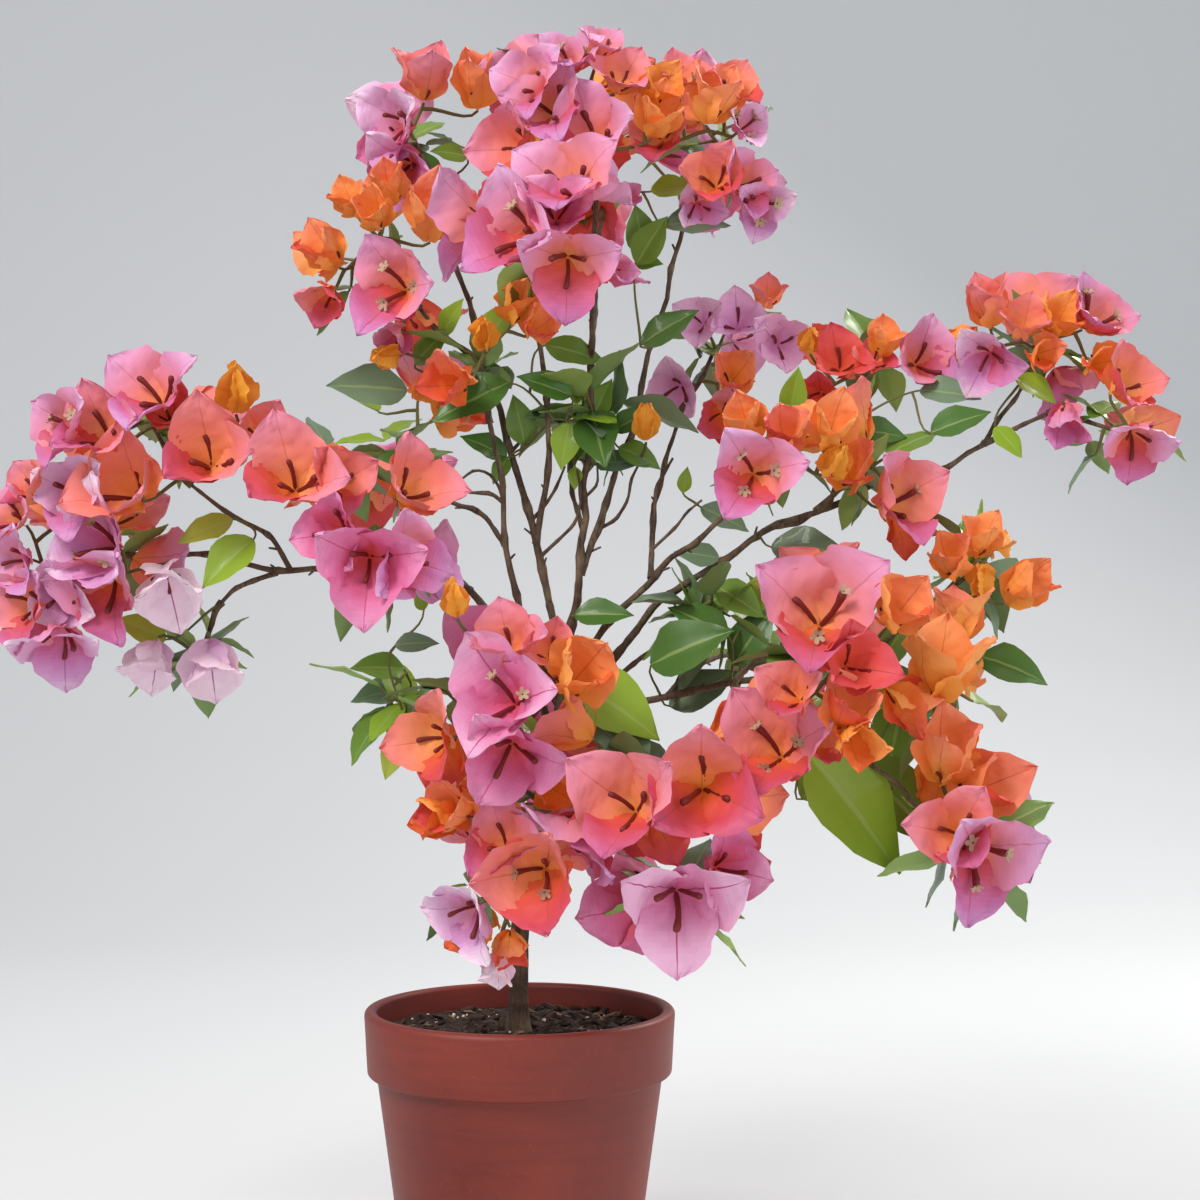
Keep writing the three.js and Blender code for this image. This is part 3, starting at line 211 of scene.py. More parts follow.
# Blooms of the side seen first, by mass: the place of the throat in the picture, how far the bloom looks to
# the right and up, its tint, and where wanted its size, the way its first bract points, and how far it stands
# forward
BLOOMS = {
    "crest": [
        (572, 72, 0, 0.7, "pink", 33, 130), (540, 92, -0.5, 0.3, "pink", 36, 150),
        (598, 150, -0.35, 0.5, "pink", 50, 110, 14), (616, 92, 0.3, 0.7, "salmon", 33, 60),
        (652, 136, 0.2, 0.7, "gold", 38, 80, 6), (531, 150, -0.7, 0, "salmon", 42, 180, 4),
        (626, 200, 0.2, 0.2, "rose", 20, 270, -8), (598, 58, 0.3, 0.8, "pink", 24, 60),
        (650, 104, 0.4, 0.5, "gold", 34, 50), (556, 116, -0.3, 0.3, "pink", 39, 170, 2),
    ],
    "top_right": [
        (707, 123, 0.3, 0.8, "orange", 46, 60, 4), (680, 92, 0.1, 0.7, "salmon", 30, 100),
        (664, 142, -0.3, 0.2, "coral", 33, 270), (717, 188, -0.1, 0.3, "coral", 36, 60, 8),
        (734, 188, 0.6, 0.1, "pink", 35, 20, 4), (756, 202, 0.3, -0.4, "lilac", 30, 265, 2),
        (696, 202, 0.1, -0.5, "lilac", 26, 230), (738, 132, 0.5, 0.3, "lilac", 26, 40),
        (727, 98, 0.4, 0.6, "coral", 30, 60),
    ],
    "top_left": [
        (424, 100, 0.1, 0.8, "blush", 44, 60), (478, 108, 0, 0.8, "orange", 40, 110),
        (410, 124, -0.7, -0.1, "lilac", 42, 150, 4), (412, 162, -0.4, -0.4, "pink", 39, 240),
        (400, 142, -0.5, 0, "pink", 30, 200, -4),
    ],
    "face": [
        (571, 196, -0.2, 0.5, "pink", 48, 275, 4), (536, 240, -0.6, 0.2, "pink", 52, 215),
        (568, 256, 0, -0.5, "pink", 47, 265, 12), (608, 268, 0.5, -0.2, "rose", 25, 350, 4),
        (556, 222, 0, 0.5, "magenta", 36, 150, 6),
    ],
    "left_shoulder": [
        (356, 214, -0.3, 0.6, "gold", 30, 110), (380, 228, -0.2, 0.6, "gold", 34, 80, 4),
        (430, 240, 0.1, 0.8, "orange", 46, 80, 4), (408, 290, -0.4, 0, "pink", 48, 235, 8),
        (338, 266, -0.5, 0.6, "orange", 38, 120), (334, 290, -0.4, -0.6, "salmon", 30, 250),
        (392, 205, -0.1, 0.8, "orange", 34, 100), (400, 330, -0.2, -0.5, "rose", 27, 262, 2),
    ],
    "gold_centre": [
        (512, 322, 0.2, 0.6, "gold", 34, 60), (485, 348, -0.1, 0.6, "amber", 28),
        (466, 384, -0.5, 0, "orange", 42, 200), (398, 353, -0.6, -0.2, "amber", 26),
        (530, 335, 0.4, 0.4, "orange", 32, 30),
    ],
    "left_crown": [
        (164, 406, -0.3, 0.6, "pink", 48, 135), (236, 412, 0.1, 0.8, "amber", 38),
        (212, 468, 0, 0.4, "coral", 54, 100, 6), (142, 500, -0.3, 0.4, "coral", 54, 90, 10),
        (84, 434, -0.7, 0.2, "pink", 42, 150), (112, 446, -0.3, 0.5, "salmon", 50, 110, 2),
        (256, 436, 0.5, 0.3, "coral", 33, 60), (174, 424, -0.1, 0.6, "red", 34, 80, -14),
    ],
    "left_heart": [
        (118, 548, -0.6, 0.1, "lilac", 52, 200, 10), (116, 578, -0.4, -0.4, "pink", 48, 285, 6),
        (24, 524, -0.6, 0.4, "pink", 30, 120), (30, 560, -0.6, -0.1, "lilac", 33, 190),
        (40, 604, -0.6, 0, "pink", 39, 160), (64, 628, 0, -0.8, "lilac", 42, 270, 4),
        (166, 570, 0.2, -0.6, "pale", 46, 280, 4), (84, 500, -0.3, 0.2, "lilac", 42, 150, 2),
        (42, 498, -0.6, 0.5, "salmon", 30, 130), (70, 590, -0.3, -0.3, "lilac", 36, 220, -4),
    ],
    "left_hanging": [
        (157, 640, -0.2, -0.9, "pale", 36, 262), (209, 640, 0.1, -0.9, "pale", 42, 275),
    ],
    "left_inner": [
        (296, 492, 0, 0.5, "salmon", 54, 105, 6), (398, 498, 0.6, 0.4, "salmon", 50, 90, 4),
        (332, 488, 0.4, 0.3, "coral", 38, 30),
    ],
    "left_inner_low": [
        (370, 556, 0, -0.3, "magenta", 50, 262, 10), (396, 556, 0.6, -0.1, "pink", 39, 345, 4),
        (346, 532, -0.5, 0, "magenta", 37, 190, 4),
    ],
    "violet": [
        (704, 325, -0.3, 0.2, "violet", 30, 150), (737, 330, 0, 0.4, "violet", 33, 90),
        (777, 345, 0.2, 0, "violet", 33, 270, 6), (766, 308, 0.1, 0.8, "blush", 26, 90),
        (681, 385, -0.4, -0.4, "violet", 36, 210), (730, 384, 0.1, 0.3, "orange", 38, 150),
        (722, 412, 0, -0.3, "salmon", 34, 200),
    ],
    "right_row": [
        (810, 352, -0.1, 0.6, "amber", 24), (840, 372, 0, 0.5, "red", 33, 100, 4),
        (870, 368, 0.2, 0.6, "coral", 27, 70), (822, 392, -0.3, -0.2, "red", 30, 200),
        (882, 356, 0.1, 0.8, "orange", 29, 90), (914, 366, 0.3, 0.2, "pink", 38, 80, 4),
        (944, 358, 0.6, 0.5, "orange", 34, 50),
    ],
    "right_face": [
        (754, 474, -0.1, 0, "pink", 46, 245, 10), (786, 450, -0.1, 0.6, "orange", 38, 110),
        (826, 448, 0.2, 0.7, "gold", 40, 80, 2), (826, 474, 0.3, 0.5, "amber", 34),
        (752, 440, -0.3, 0.7, "orange", 34, 110),
    ],
    "right_low": [
        (852, 484, -0.2, 0.5, "orange", 44, 120, 2), (880, 507, 0.6, 0.3, "salmon", 50, 25, 6),
    ],
    "far_right_up": [
        (990, 326, -0.2, 0.8, "blush", 40, 110), (990, 352, -0.3, -0.5, "lilac", 35, 240, 2),
        (1022, 336, 0, 0.7, "coral", 33, 80, 2), (1036, 354, 0.1, 0, "orange", 32, 260),
        (1052, 334, 0.2, 0.6, "gold", 32, 60), (1084, 328, 0.4, 0.5, "pink", 42, 110, 4),
        (1092, 364, 0.2, 0, "orange", 34, 250),
    ],
    "far_right_tip": [
        (1112, 392, 0.5, 0.4, "salmon", 40, 5, 4), (1066, 404, -0.1, -0.8, "rose", 33, 250),
        (1131, 430, 0.1, -0.7, "pink", 39, 266, 4),
    ],
    "leafy_heart": [
        (646, 440, 0, 0.9, "amber", 28),
    ],
    "front_upper": [
        (517, 705, -0.4, 0.3, "magenta", 54, 125, 12), (511, 660, -0.1, 0.7, "salmon", 43, 100),
        (457, 616, -0.1, 0.9, "amber", 27, None, 16), (566, 690, 0.3, 0.4, "gold", 56, 50, 14),
        (450, 738, -0.7, 0, "coral", 42, 185, 2), (484, 776, -0.1, -0.4, "orange", 34, 240, -6),
        (540, 780, 0.4, -0.2, "gold", 36, 330), (512, 742, -0.1, -0.5, "magenta", 45, 240, 10),
        (548, 660, 0.2, 0.5, "coral", 33, 80),
    ],
    "front_middle": [
        (637, 812, -0.4, 0.3, "salmon", 56, 145, 6), (703, 790, 0, 0.1, "salmon", 62, 95, 12),
        (782, 758, -0.3, 0.4, "salmon", 54, 130, 4), (806, 742, 0.4, 0.3, "coral", 36, 20),
    ],
    "front_low_left": [
        (470, 815, -0.6, 0.3, "orange", 42, 100), (546, 868, -0.3, -0.1, "coral", 56, 300, 8),
        (480, 905, -0.6, -0.4, "lilac", 42, 190, 4), (510, 930, 0, -0.8, "orange", 28, 225),
        (498, 952, 0, -0.9, "pale", 26, 270), (460, 816, -0.8, 0, "gold", 38, 190, -4),
        (508, 850, -0.2, 0.5, "pink", 39, 110),
    ],
    "front_low_right": [
        (676, 889, 0, -0.4, "orchid", 54, 268, 8), (714, 868, 0.5, 0.1, "magenta", 42, 350),
    ],
    "right_front": [
        (823, 628, -0.1, 0.5, "dawn", 58, 270, 10), (888, 626, 0.3, 0.6, "gold", 46, 50),
        (842, 728, 0.1, 0.6, "orange", 46, 110, 4), (800, 702, -0.4, 0.4, "coral", 36, 140),
        (846, 668, 0.2, 0.2, "red", 39, 340, 4), (850, 722, 0.2, -0.6, "gold", 38, 262),
    ],
    "right_gold": [
        (955, 576, -0.2, 0.7, "orange", 40, 120), (976, 556, 0.1, 0.8, "gold", 34, 60),
        (978, 594, 0, 0.7, "amber", 28), (1006, 602, 0.6, 0.6, "gold", 40, 50),
    ],
    "right_arm": [
        (934, 700, 0.2, 0.9, "gold", 58, 80), (942, 782, 0.1, 0.8, "orange", 52, 100, 2),
        (954, 800, 0.6, 0.4, "orange", 54, 25, 4),
    ],
    "right_hanging": [
        (968, 842, 0.4, -0.4, "pink", 56, 255, 6), (958, 834, -0.2, 0.2, "salmon", 42, 170, 4),
    ],
}

# The throats, as above, of the blooms whose small flowers are open
OPEN_FLOWERS = {
    (572, 72), (680, 92), (738, 132), (756, 202), (536, 240), (408, 290), (754, 474), (880, 507), (1084, 328),
    (84, 434), (118, 548), (517, 705), (546, 868), (782, 758), (968, 842), (823, 628)}

# Bare side twigs that show in the open middle: the radius, and places in the picture from the bough outward
BARE_TWIGS = [
    (0.9, [(535, 521), (546, 504), (556, 488), (565, 466)]),
    (0.9, [(540, 556), (558, 540), (576, 523), (583, 498), (577, 470)]),
    (1.0, [(496, 500), (490, 493), (478, 493), (462, 492)]),
    (0.8, [(506, 520), (502, 490), (490, 474), (474, 470), (458, 482)]),
    (0.9, [(612, 536), (617, 520), (628, 500), (630, 480), (640, 462)]),
    (0.9, [(588, 552), (603, 526), (606, 500), (612, 476)]),
    (1.0, [(656, 546), (655, 520), (656, 488), (664, 474), (673, 458)]),
    (0.8, [(662, 548), (674, 528), (686, 512), (702, 500)]),
    (0.8, [(514, 452), (522, 440), (536, 432), (545, 418)]),
    (0.7, [(590, 500), (598, 484), (597, 462)]),
]

# Leaves that show on the side seen first: the middle's place in the picture, the way the tip points (degrees
# from the right, turning up), the length in millimetres, the green, and how far back the leaf is
LEAVES = [
    (617, 705, -30, 50, "bright", -70), (675, 187, 10, 25, "bright", -20),
    (452, 317, 60, 22, "bright", -20), (227, 560, -140, 34, "bright", -60),
    (205, 528, -160, 30, "yellow", -50), (142, 627, 150, 28, "yellow", -30),
    (565, 445, -100, 24, "bright", -10), (575, 478, -90, 12, "bright", 0),
    (794, 392, 80, 26, "bright", 10), (1037, 387, -30, 24, "bright", -10),
    (1009, 441, -50, 22, "bright", -10), (392, 757, -110, 24, "yellow", -20),
    (858, 810, -48, 76, "bright", -74), (900, 800, -40, 60, "mid", -40), (687, 645, 30, 46, "deep", -30),
    (752, 635, 60, 36, "deep", -10), (1013, 665, -15, 36, "deep", -30), (897, 677, 10, 26, "deep", -60),
    (470, 400, -155, 44, "deep", -30), (575, 350, -10, 32, "mid", 0), (485, 445, 150, 26, "deep", 0),
    (668, 325, 35, 34, "deep", -10), (882, 432, -5, 26, "deep", -10), (603, 613, 5, 30, "deep", -20),
    (697, 222, 5, 34, "grey", -20), (650, 240, 60, 28, "mid", -20), (648, 263, 0, 16, "mid", -10),
    (368, 386, 175, 42, "grey", -10), (450, 152, 170, 20, "mid", 0), (772, 657, 20, 30, "grey", 0),
    (703, 688, 30, 40, "grey", 0), (712, 600, 20, 34, "mid", 0), (808, 547, 0, 40, "grey", 10),
    (697, 554, 170, 24, "grey", 0), (725, 518, -25, 28, "grey", 0), (950, 392, -5, 32, "grey", 0),
    (960, 420, 25, 32, "deep", -10), (620, 460, 10, 28, "grey", 0), (898, 722, 80, 40, "mid", -20),
    (416, 642, 10, 22, "grey", -20), (378, 667, 175, 28, "mid", -10), (380, 692, 185, 30, "grey", 0),
    (520, 420, 100, 26, "mid", 0), (600, 400, 70, 24, "mid", 0), (545, 385, 160, 30, "deep", -20),
    (590, 425, -60, 20, "yellow", 0), (632, 420, 30, 22, "deep", 0), (640, 455, -20, 24, "mid", 0),
    (430, 345, 50, 26, "mid", -20), (500, 470, -120, 16, "mid", 0), (685, 480, 80, 14, "bright", 0),
    (740, 600, -30, 30, "mid", -10), (700, 620, 150, 34, "deep", -20), (760, 590, 70, 24, "yellow", 0),
    (640, 230, 100, 26, "mid", -10), (815, 780, 60, 24, "mid", -60), (925, 610, 90, 26, "mid", -30),
    (880, 690, 120, 26, "bright", -30), (895, 640, 60, 30, "mid", -30), (420, 600, 110, 12, "bright", 0),
]

# The source's growth rule

MASK = 0xFFFFFFFF
LIMB_SEED = 900


def random_from(seed):
    """The source's seeded stream of numbers from 0 to 1."""
    state = seed & MASK

    def draw():
        nonlocal state
        state = (state + 0x6D2B79F5) & MASK
        mixed = ((state ^ (state >> 15)) * (state | 1)) & MASK
        mixed ^= (mixed + (((mixed ^ (mixed >> 7)) * (mixed | 61)) & MASK)) & MASK
        return ((mixed ^ (mixed >> 14)) & MASK) / 4294967296

    return draw


def vec(*numbers):
    return np.array(numbers[0] if len(numbers) == 1 else numbers, dtype=float)


def unit(v):
    return v / np.maximum(np.linalg.norm(v, axis=-1, keepdims=True), 1e-12)


def side_axes(direction):
    """Two directions square to a given one, and to each other."""
    helper = vec(0, 0, 1) if abs(direction[2]) < 0.9 else vec(1, 0, 0)
    side = unit(np.cross(direction, helper))
    return side, unit(np.cross(side, direction))


def lean_from(axis, angle, turn):
    """A direction at an angle to an axis, on the side that the turn gives."""
    side, lift = side_axes(axis)
    return unit(axis * math.cos(angle) + side * math.sin(angle) * math.cos(turn)
                + lift * math.sin(angle) * math.sin(turn))


def smoothstep(x, low, high):
    t = min(max((x - low) / (high - low), 0), 1)
    return t * t * (3 - 2 * t)


def place_on(route, fraction):
    reach = min(fraction, 0.9999) * (len(route) - 1)
    step = int(reach)
    return route[step] + (route[step + 1] - route[step]) * (reach - step)


# One over the largest value of t * (1 - t) ** 2, so that a limb bows out by as much as its row says
BOW_PEAK = 6.75


def limb_route(start, tip, bow, seed):
    """It arches out early in its length, and turns a little at each node."""
    random = random_from(seed)
    steps = max(3, math.floor(np.linalg.norm(tip - start) / NODE_SPACING + 0.5))
    side, lift = side_axes(unit(tip - start))
    turn = 2 * math.pi * random()
    route = []
    for step in range(steps + 1):
        t = step / steps
        point = start + (tip - start) * t + bow * BOW_PEAK * t * (1 - t) ** 2
        kink = 0 if step % steps == 0 else (1 if step % 2 else -1) * NODE_KINK * (0.5 + random())
        route.append(point + side * kink * math.cos(turn) + lift * kink * math.sin(turn))
    return route


def trunk_route():
    foot, fork = vec(-1, 0, SOIL_LEVEL + SEAT), vec(FORK)
    route = []
    for t in TRUNK_SHARES:
        lean = smoothstep(t, 0.2, 1.1) / smoothstep(1, 0.2, 1.1)
        sway = 1.5 * math.sin(5 * t) * smoothstep(t, 0.05, 0.3)
        route.append(vec(foot[0] + (fork[0] - foot[0]) * lean, sway, foot[2] + (fork[2] - foot[2]) * t))
    return route


def trunk_place(height):
    """The middle of the trunk at a share of its height."""
    route = routes["trunk"]
    z = route[0][2] + (route[-1][2] - route[0][2]) * height
    above = max(1, next(k for k, p in enumerate(route) if p[2] >= z - 1e-9))
    low, high = route[above - 1], route[above]
    return low + (high - low) * (z - low[2]) / (high[2] - low[2])


routes = {"trunk": trunk_route()}
for index, (name, on, at, tip, bow, _) in enumerate(LIMBS):
    start = trunk_place(at) if on == "trunk" else place_on(routes[on], at)
    routes[name] = limb_route(start, vec(tip), vec(bow), LIMB_SEED + index)


class Mass:
    """A mass of blossom and leaf with the space that it keeps to, and the stem it grows on."""

    def __init__(self, name, on, at, reach, face, seed, leaves, leaf, tints):
        self.name, self.on, self.seed, self.leaves, self.leaf = name, on, seed, leaves, leaf
        self.at, self.reach, self.face = vec(at), vec(reach), unit(vec(face))
        self.tints = tints.split()
        self.stem = self.stem_route()

    def stem_route(self):
        heart = self.at - self.face * 0.3 * min(self.reach)
        end = heart + (self.at - heart) * 0.6
        if not isinstance(self.on, str):
            root = trunk_place(self.on)
            bend = (root + heart) / 2
            bend[2] += 0.08 * np.linalg.norm(heart - root)
            return [root, bend, heart, end]
        route = routes[self.on]
        ahead = unit(route[-1] - route[-2])
        tip = route[-1]
        return [tip - ahead, tip + ahead * 4, tip + (heart - tip) * 0.6, end]

    def reach_towards(self, direction):
        return 1 / np.linalg.norm(direction / self.reach)


masses = [Mass(*row) for row in MASSES]
mass_names = [mass.name for mass in masses]
by_name = {mass.name: mass for mass in masses}

# The view of the photograph

CAMERA = vec(41.3, -1191, 356)
LENS = 69.24
SENSOR = 36
PICTURE_MIDDLE = 600
PIXELS_PER_RADIAN = 2308


def seen_at(px, py, y):
    """The place that shows at a pixel of the picture when it is y millimetres back."""
    scale = (y - CAMERA[1]) / PIXELS_PER_RADIAN
    return vec(CAMERA[0] + (px - PICTURE_MIDDLE) * scale, y, CAMERA[2] - (py - PICTURE_MIDDLE) * scale)


def place_in(mass, px, py, forward):
    """A place in the front half of a mass's space, behind a pixel of the picture."""
    y = mass.at[1]
    for _ in range(4):
        x, _, z = (seen_at(px, py, y) - mass.at) / mass.reach
        y = mass.at[1] - mass.reach[1] * (0.4 * math.sqrt(max(0.04, 1 - x * x - z * z)))
    return seen_at(px, py, y - forward)


# Blooms

class Bloom:
    """Three bracts round a throat: where it is, which way it looks, and what its age and tint make of it."""

    def __init__(self, mass, base, axis, tint, size, roll, random):
        age, family, first, last, usual = TINTS[tint]
        root, tip, width = AGES[age]
        self.mass, self.base, self.axis, self.tint, self.age = mass, base, unit(axis), tint, age
        self.family, self.first, self.last = family, first, last
        self.length = (size or usual) * (0.97 + 0.06 * random())
        self.root = math.radians(root + 8 * (random() - 0.5))
        self.tip = math.radians(tip + 18 * (random() - 0.5))
        self.width, self.roll = width, roll
        self.cup = 0.7 + 0.6 * random()
        self.shift = 0.08 * (random() - 0.5)
        self.seed = int(random() * 1e6)

    def turns(self):
        return [self.roll + third * 2 * math.pi / 3 for third in range(3)]


def roll_for(axis, degrees):
    """The turn about the axis that points a bract a given way in the picture."""
    side, lift = side_axes(axis)
    wanted = vec(math.cos(math.radians(degrees)), 0, math.sin(math.radians(degrees)))
    return math.atan2(wanted @ lift, wanted @ side)


# A bract's length over the length that the bloom takes up in the picture
PLACED_SIZE = 0.76
PLACED_SEED = 30011
# How many places the rule tries on a mass, with placed blooms on it or without, and how often each
PLACES_BEHIND = 16
PLACES_ALL_ROUND = 20
ATTEMPTS = 6
RULED_SEED = 10007
# Where a flower has room, in millimetres: off the others, off the mass's middle, and above the pot
FLOWER_GAP = 27
LEAST_OUT = 6
FLOWER_ROOM = 12
FACES_FRONT = -0.05
HANGING = vec(0, 0, -1.4)
HIDDEN_SHARE = 0.93
FLOWERING_SHARE = 0.08
# How far a placed bloom hides what is behind it, in pixels for a millimetre of its length
COVER = 0.82 / 0.5


def placed_blooms():
    blooms = []
    for name, rows in BLOOMS.items():
        mass = by_name[name]
        for index, row in enumerate(rows):
            px, py, right, up, tint = row[:5]
            size, way, forward = (list(row[5:]) + [None] * 3)[:3]
            random = random_from(mass.seed * PLACED_SEED + index * 107)
            axis = vec(right, -math.sqrt(max(0.04, 1 - right * right - up * up)), up)
            roll = 2 * math.pi * random() if way is None else roll_for(unit(axis), way)
            base = place_in(mass, px, py, forward or 0)
            bloom = Bloom(mass, base, axis, tint, size and size * PLACED_SIZE, roll, random)
            bloom.flowering = (px, py) in OPEN_FLOWERS
            blooms.append(bloom)
    return blooms


def pixel_of(points):
    """Where places show in the picture."""
    scale = (points[..., 1] - CAMERA[1]) / PIXELS_PER_RADIAN
    across = PICTURE_MIDDLE + (points[..., 0] - CAMERA[0]) / scale
    down = PICTURE_MIDDLE - (points[..., 2] - CAMERA[2]) / scale
    return np.stack([across, down], axis=-1)


def tried_bloom(mass, index, attempt, count, standing):
    """One try of the source's rule for a flower on a mass, or None where there is no room for one."""
    random = random_from(mass.seed * RULED_SEED + index * 101 + attempt)
    polar = math.acos(1 - 2 * (index + 0.5) / count)
    lean = polar + (random() - 0.5) * 0.5 * (1 + attempt * 0.1)
    turn = index * GOLDEN_ANGLE + mass.seed + (random() - 0.5) * 0.8 * (1 + attempt * 0.2)
    outward = lean_from(mass.face, lean, turn)
    if mass.name in BLOOMS and outward[1] < FACES_FRONT:
        return None
    tint = mass.tints[index % len(mass.tints)]
    size = TINTS[tint][4] * (0.9 + 0.15 * random())
    out = max(LEAST_OUT, mass.reach_towards(outward) - size * (0.55 + 0.2 * random()))
    base = mass.at + outward * out
    near = min(np.linalg.norm(other.base - base) for other in standing)
    if near < FLOWER_GAP or base[2] < LOWEST_FLOWER + FLOWER_ROOM:
        return None
    axis = lean_from(outward, 0.35 * random(), 2 * math.pi * random())
    if tint == "pale":
        axis = unit(axis + HANGING)
    bloom = Bloom(mass, base, axis, tint, size, 2 * math.pi * random(), random)
    bloom.flowering = random() < FLOWERING_SHARE
    return bloom


def ruled_blooms(others):
    """The source's rule for a flower, carried on over the sides and the back of each mass.

    A flower stands only where placed blooms hide most of it on the side seen first, so that gaps stay open.
    """
    centres = np.array([pixel_of(other.base + other.axis * other.length * 0.3) for other in others])
    widths = np.array([other.length * COVER for other in others])

    def hidden(bloom):
        seen = pixel_of(bract_grid([bloom])[:, 4::3, ::3].reshape(-1, 3))
        gaps = np.linalg.norm(seen[:, None] - centres[None], axis=-1)
        return np.mean((gaps < widths).any(axis=1)) >= HIDDEN_SHARE

    standing = list(others)
    for mass in masses:
        places = PLACES_BEHIND if mass.name in BLOOMS else PLACES_ALL_ROUND
        for index in range(places if mass.tints else 0):
            for attempt in range(ATTEMPTS):
                bloom = tried_bloom(mass, index, attempt, places, standing)
                if bloom and hidden(bloom):
                    standing.append(bloom)
                    break
    return standing[len(others):]


# A bract's outline: half width at each share of its length, as a share of the widest
OUTLINE_U = np.array([
    0, 0.02, 0.05, 0.1, 0.16, 0.22, 0.28, 0.34, 0.4, 0.46,
    0.52, 0.58, 0.64, 0.7, 0.76, 0.82, 0.88, 0.93, 0.97, 1])
OUTLINE_W = np.array([
    0.08, 0.28, 0.46, 0.65, 0.8, 0.9, 0.96, 0.99, 1, 0.995,
    0.98, 0.95, 0.9, 0.83, 0.73, 0.6, 0.42, 0.24, 0.1, 0.015])
BRACT_V = np.array([-1, -0.82, -0.62, -0.42, -0.22, -0.025, 0.025, 0.22, 0.42, 0.62, 0.82, 1])
BRACT_THICKNESS = 0.3


def shell_faces(rows, columns):
    """Faces of a closed thin shell: a front sheet, and a back sheet that shares its rim."""
    front = np.arange(rows * columns).reshape(rows, columns)
    back = front.copy()
    back[1:-1, 1:-1] = rows * columns + np.arange((rows - 2) * (columns - 2)).reshape(rows - 2, columns - 2)
    quads = []
    for sheet, order in ((front, (0, 1, 2, 3)), (back, (0, 3, 2, 1))):
        corners = [sheet[:-1, :-1], sheet[1:, :-1], sheet[1:, 1:], sheet[:-1, 1:]]
        quads.append(np.stack([corners[k] for k in order], axis=-1).reshape(-1, 4))
    return np.concatenate(quads)


def shell_points(grid, thickness):
    """grid (N, rows, columns, 3) as points of closed shells, N by points by 3."""
    along = np.gradient(grid, axis=1)
    across = np.gradient(grid, axis=2)
    normal = unit(np.cross(along, across))
    inner = (slice(None), slice(1, -1), slice(1, -1))
    front = grid.copy()
    front[inner] += normal[inner] * thickness / 2
    back = grid[inner] - normal[inner] * thickness / 2
    count = len(grid)
    return np.concatenate([front.reshape(count, -1, 3), back.reshape(count, -1, 3)], axis=1)


def wave(turns):
    """A wave of height 1, by how many times it has gone round."""
    return np.sin(2 * np.pi * turns)


def bract_rows(bloom):
    """What the source's rule draws for each bract of a bloom, from its place to its waves."""
    side, lift = side_axes(bloom.axis)
    random = random_from(bloom.seed)
    rows = []
    for turn in bloom.turns():
        turn += 0.2 * (random() - 0.5)
        away = side * math.cos(turn) + lift * math.sin(turn)
        across = -side * math.sin(turn) + lift * math.cos(turn)
        tip = bloom.tip + 0.5 * (random() - 0.5)
        rows.append((
            bloom.base, bloom.axis, away, across, bloom.length * (0.93 + 0.14 * random()),
            bloom.root + 0.2 * (random() - 0.5), tip, bloom.width * (0.94 + 0.12 * random()),
            bloom.cup, random(), random(), random(), 0.5 - random()))
    return rows


def bract_grid(blooms):
    """The surfaces of every bract of these blooms: cupped, waved, folded, veined and curled at the tip."""
    rows = [row for bloom in blooms for row in bract_rows(bloom)]
    base, axis, away, across = (np.array([r[k] for r in rows])[:, None, None] for k in range(4))
    length, root, tip, width, cup, phase_1, phase_2, phase_3, skew = (
        np.array([r[k] for r in rows])[:, None, None, None] for k in range(4, 13))
    u = OUTLINE_U[None, :, None, None]
    v = BRACT_V[None, None, :, None]
    # The outline, with an uneven rim
    half = width * OUTLINE_W[None, :, None, None]
    half = half * (1 + 0.07 * wave(1.7 * u + phase_1 + 0.3 * np.sign(v))
                   + 0.03 * wave(4.2 * u + phase_3 + 0.4 * np.sign(v)))
    # The curve from root to tip, which opens evenly
    bend = np.where(np.abs(tip - root) < 0.02, root + 0.02, tip)
    opening = root + (bend - root) * u
    rise = (np.sin(opening) - np.sin(root)) / (bend - root)
    spread = (np.cos(root) - np.cos(opening)) / (bend - root)
    normal = axis * np.sin(opening) - away * np.cos(opening)
    # The surface off that curve: cup and fold, waves, creases, veins, and a curled tip
    lift = cup * (v * half) ** 2 + 0.07 * np.abs(v) * half
    lift = lift + 0.09 * half * v * np.abs(v) * wave(1.1 * u + phase_1) * (1 + u)
    lift = lift + 0.09 * v ** 2 * wave(2.1 * u + phase_2) * half
    lift = lift + 0.014 * wave(0.7 * v + 1.6 * u + phase_3)
    lift = lift + 0.015 * wave(1.9 * v + 2.7 * u + phase_1) * wave(3.3 * u - 1.2 * v + phase_2)
    veins = 0.018 * np.cos(2 * np.pi * (5.2 * u - 1.5 * np.abs(v)))
    lift = lift + veins * np.minimum(1, 4 * u) * np.minimum(1, 0.3 + 3 * np.abs(v))
    lift = lift - 0.7 * np.clip(u - 0.7, 0, 1) ** 1.5 * (phase_2 - 0.25)
    shear = 0.05 * skew * u * u
    return (base + axis * length * rise + away * length * spread + across * length * (half * v + shear)
            + normal * length * lift)


# Node trees as expressions

class Socket:
    """A value in a node tree. Sums on it make Math nodes."""

    def __init__(self, tree, output):
        self.tree, self.output = tree, output

    def _maths(self, operation, first, second):
        return self.tree.make("ShaderNodeMath", {"operation": operation}, {0: first, 1: second})

    def __add__(self, other):
        return self._maths("ADD", self, other)

    __radd__ = __add__

    def __sub__(self, other):
        return self._maths("SUBTRACT", self, other)

    def __rsub__(self, other):
        return self._maths("SUBTRACT", other, self)

    def __mul__(self, other):
        return self._maths("MULTIPLY", self, other)

    __rmul__ = __mul__

    def __truediv__(self, other):
        return self._maths("DIVIDE", self, other)

    def between(self, low, high):
        """0 below low, 1 above high, and even in between."""
        share = (self - low) / (high - low)
        return self._maths("MINIMUM", self._maths("MAXIMUM", share, 0), 1)


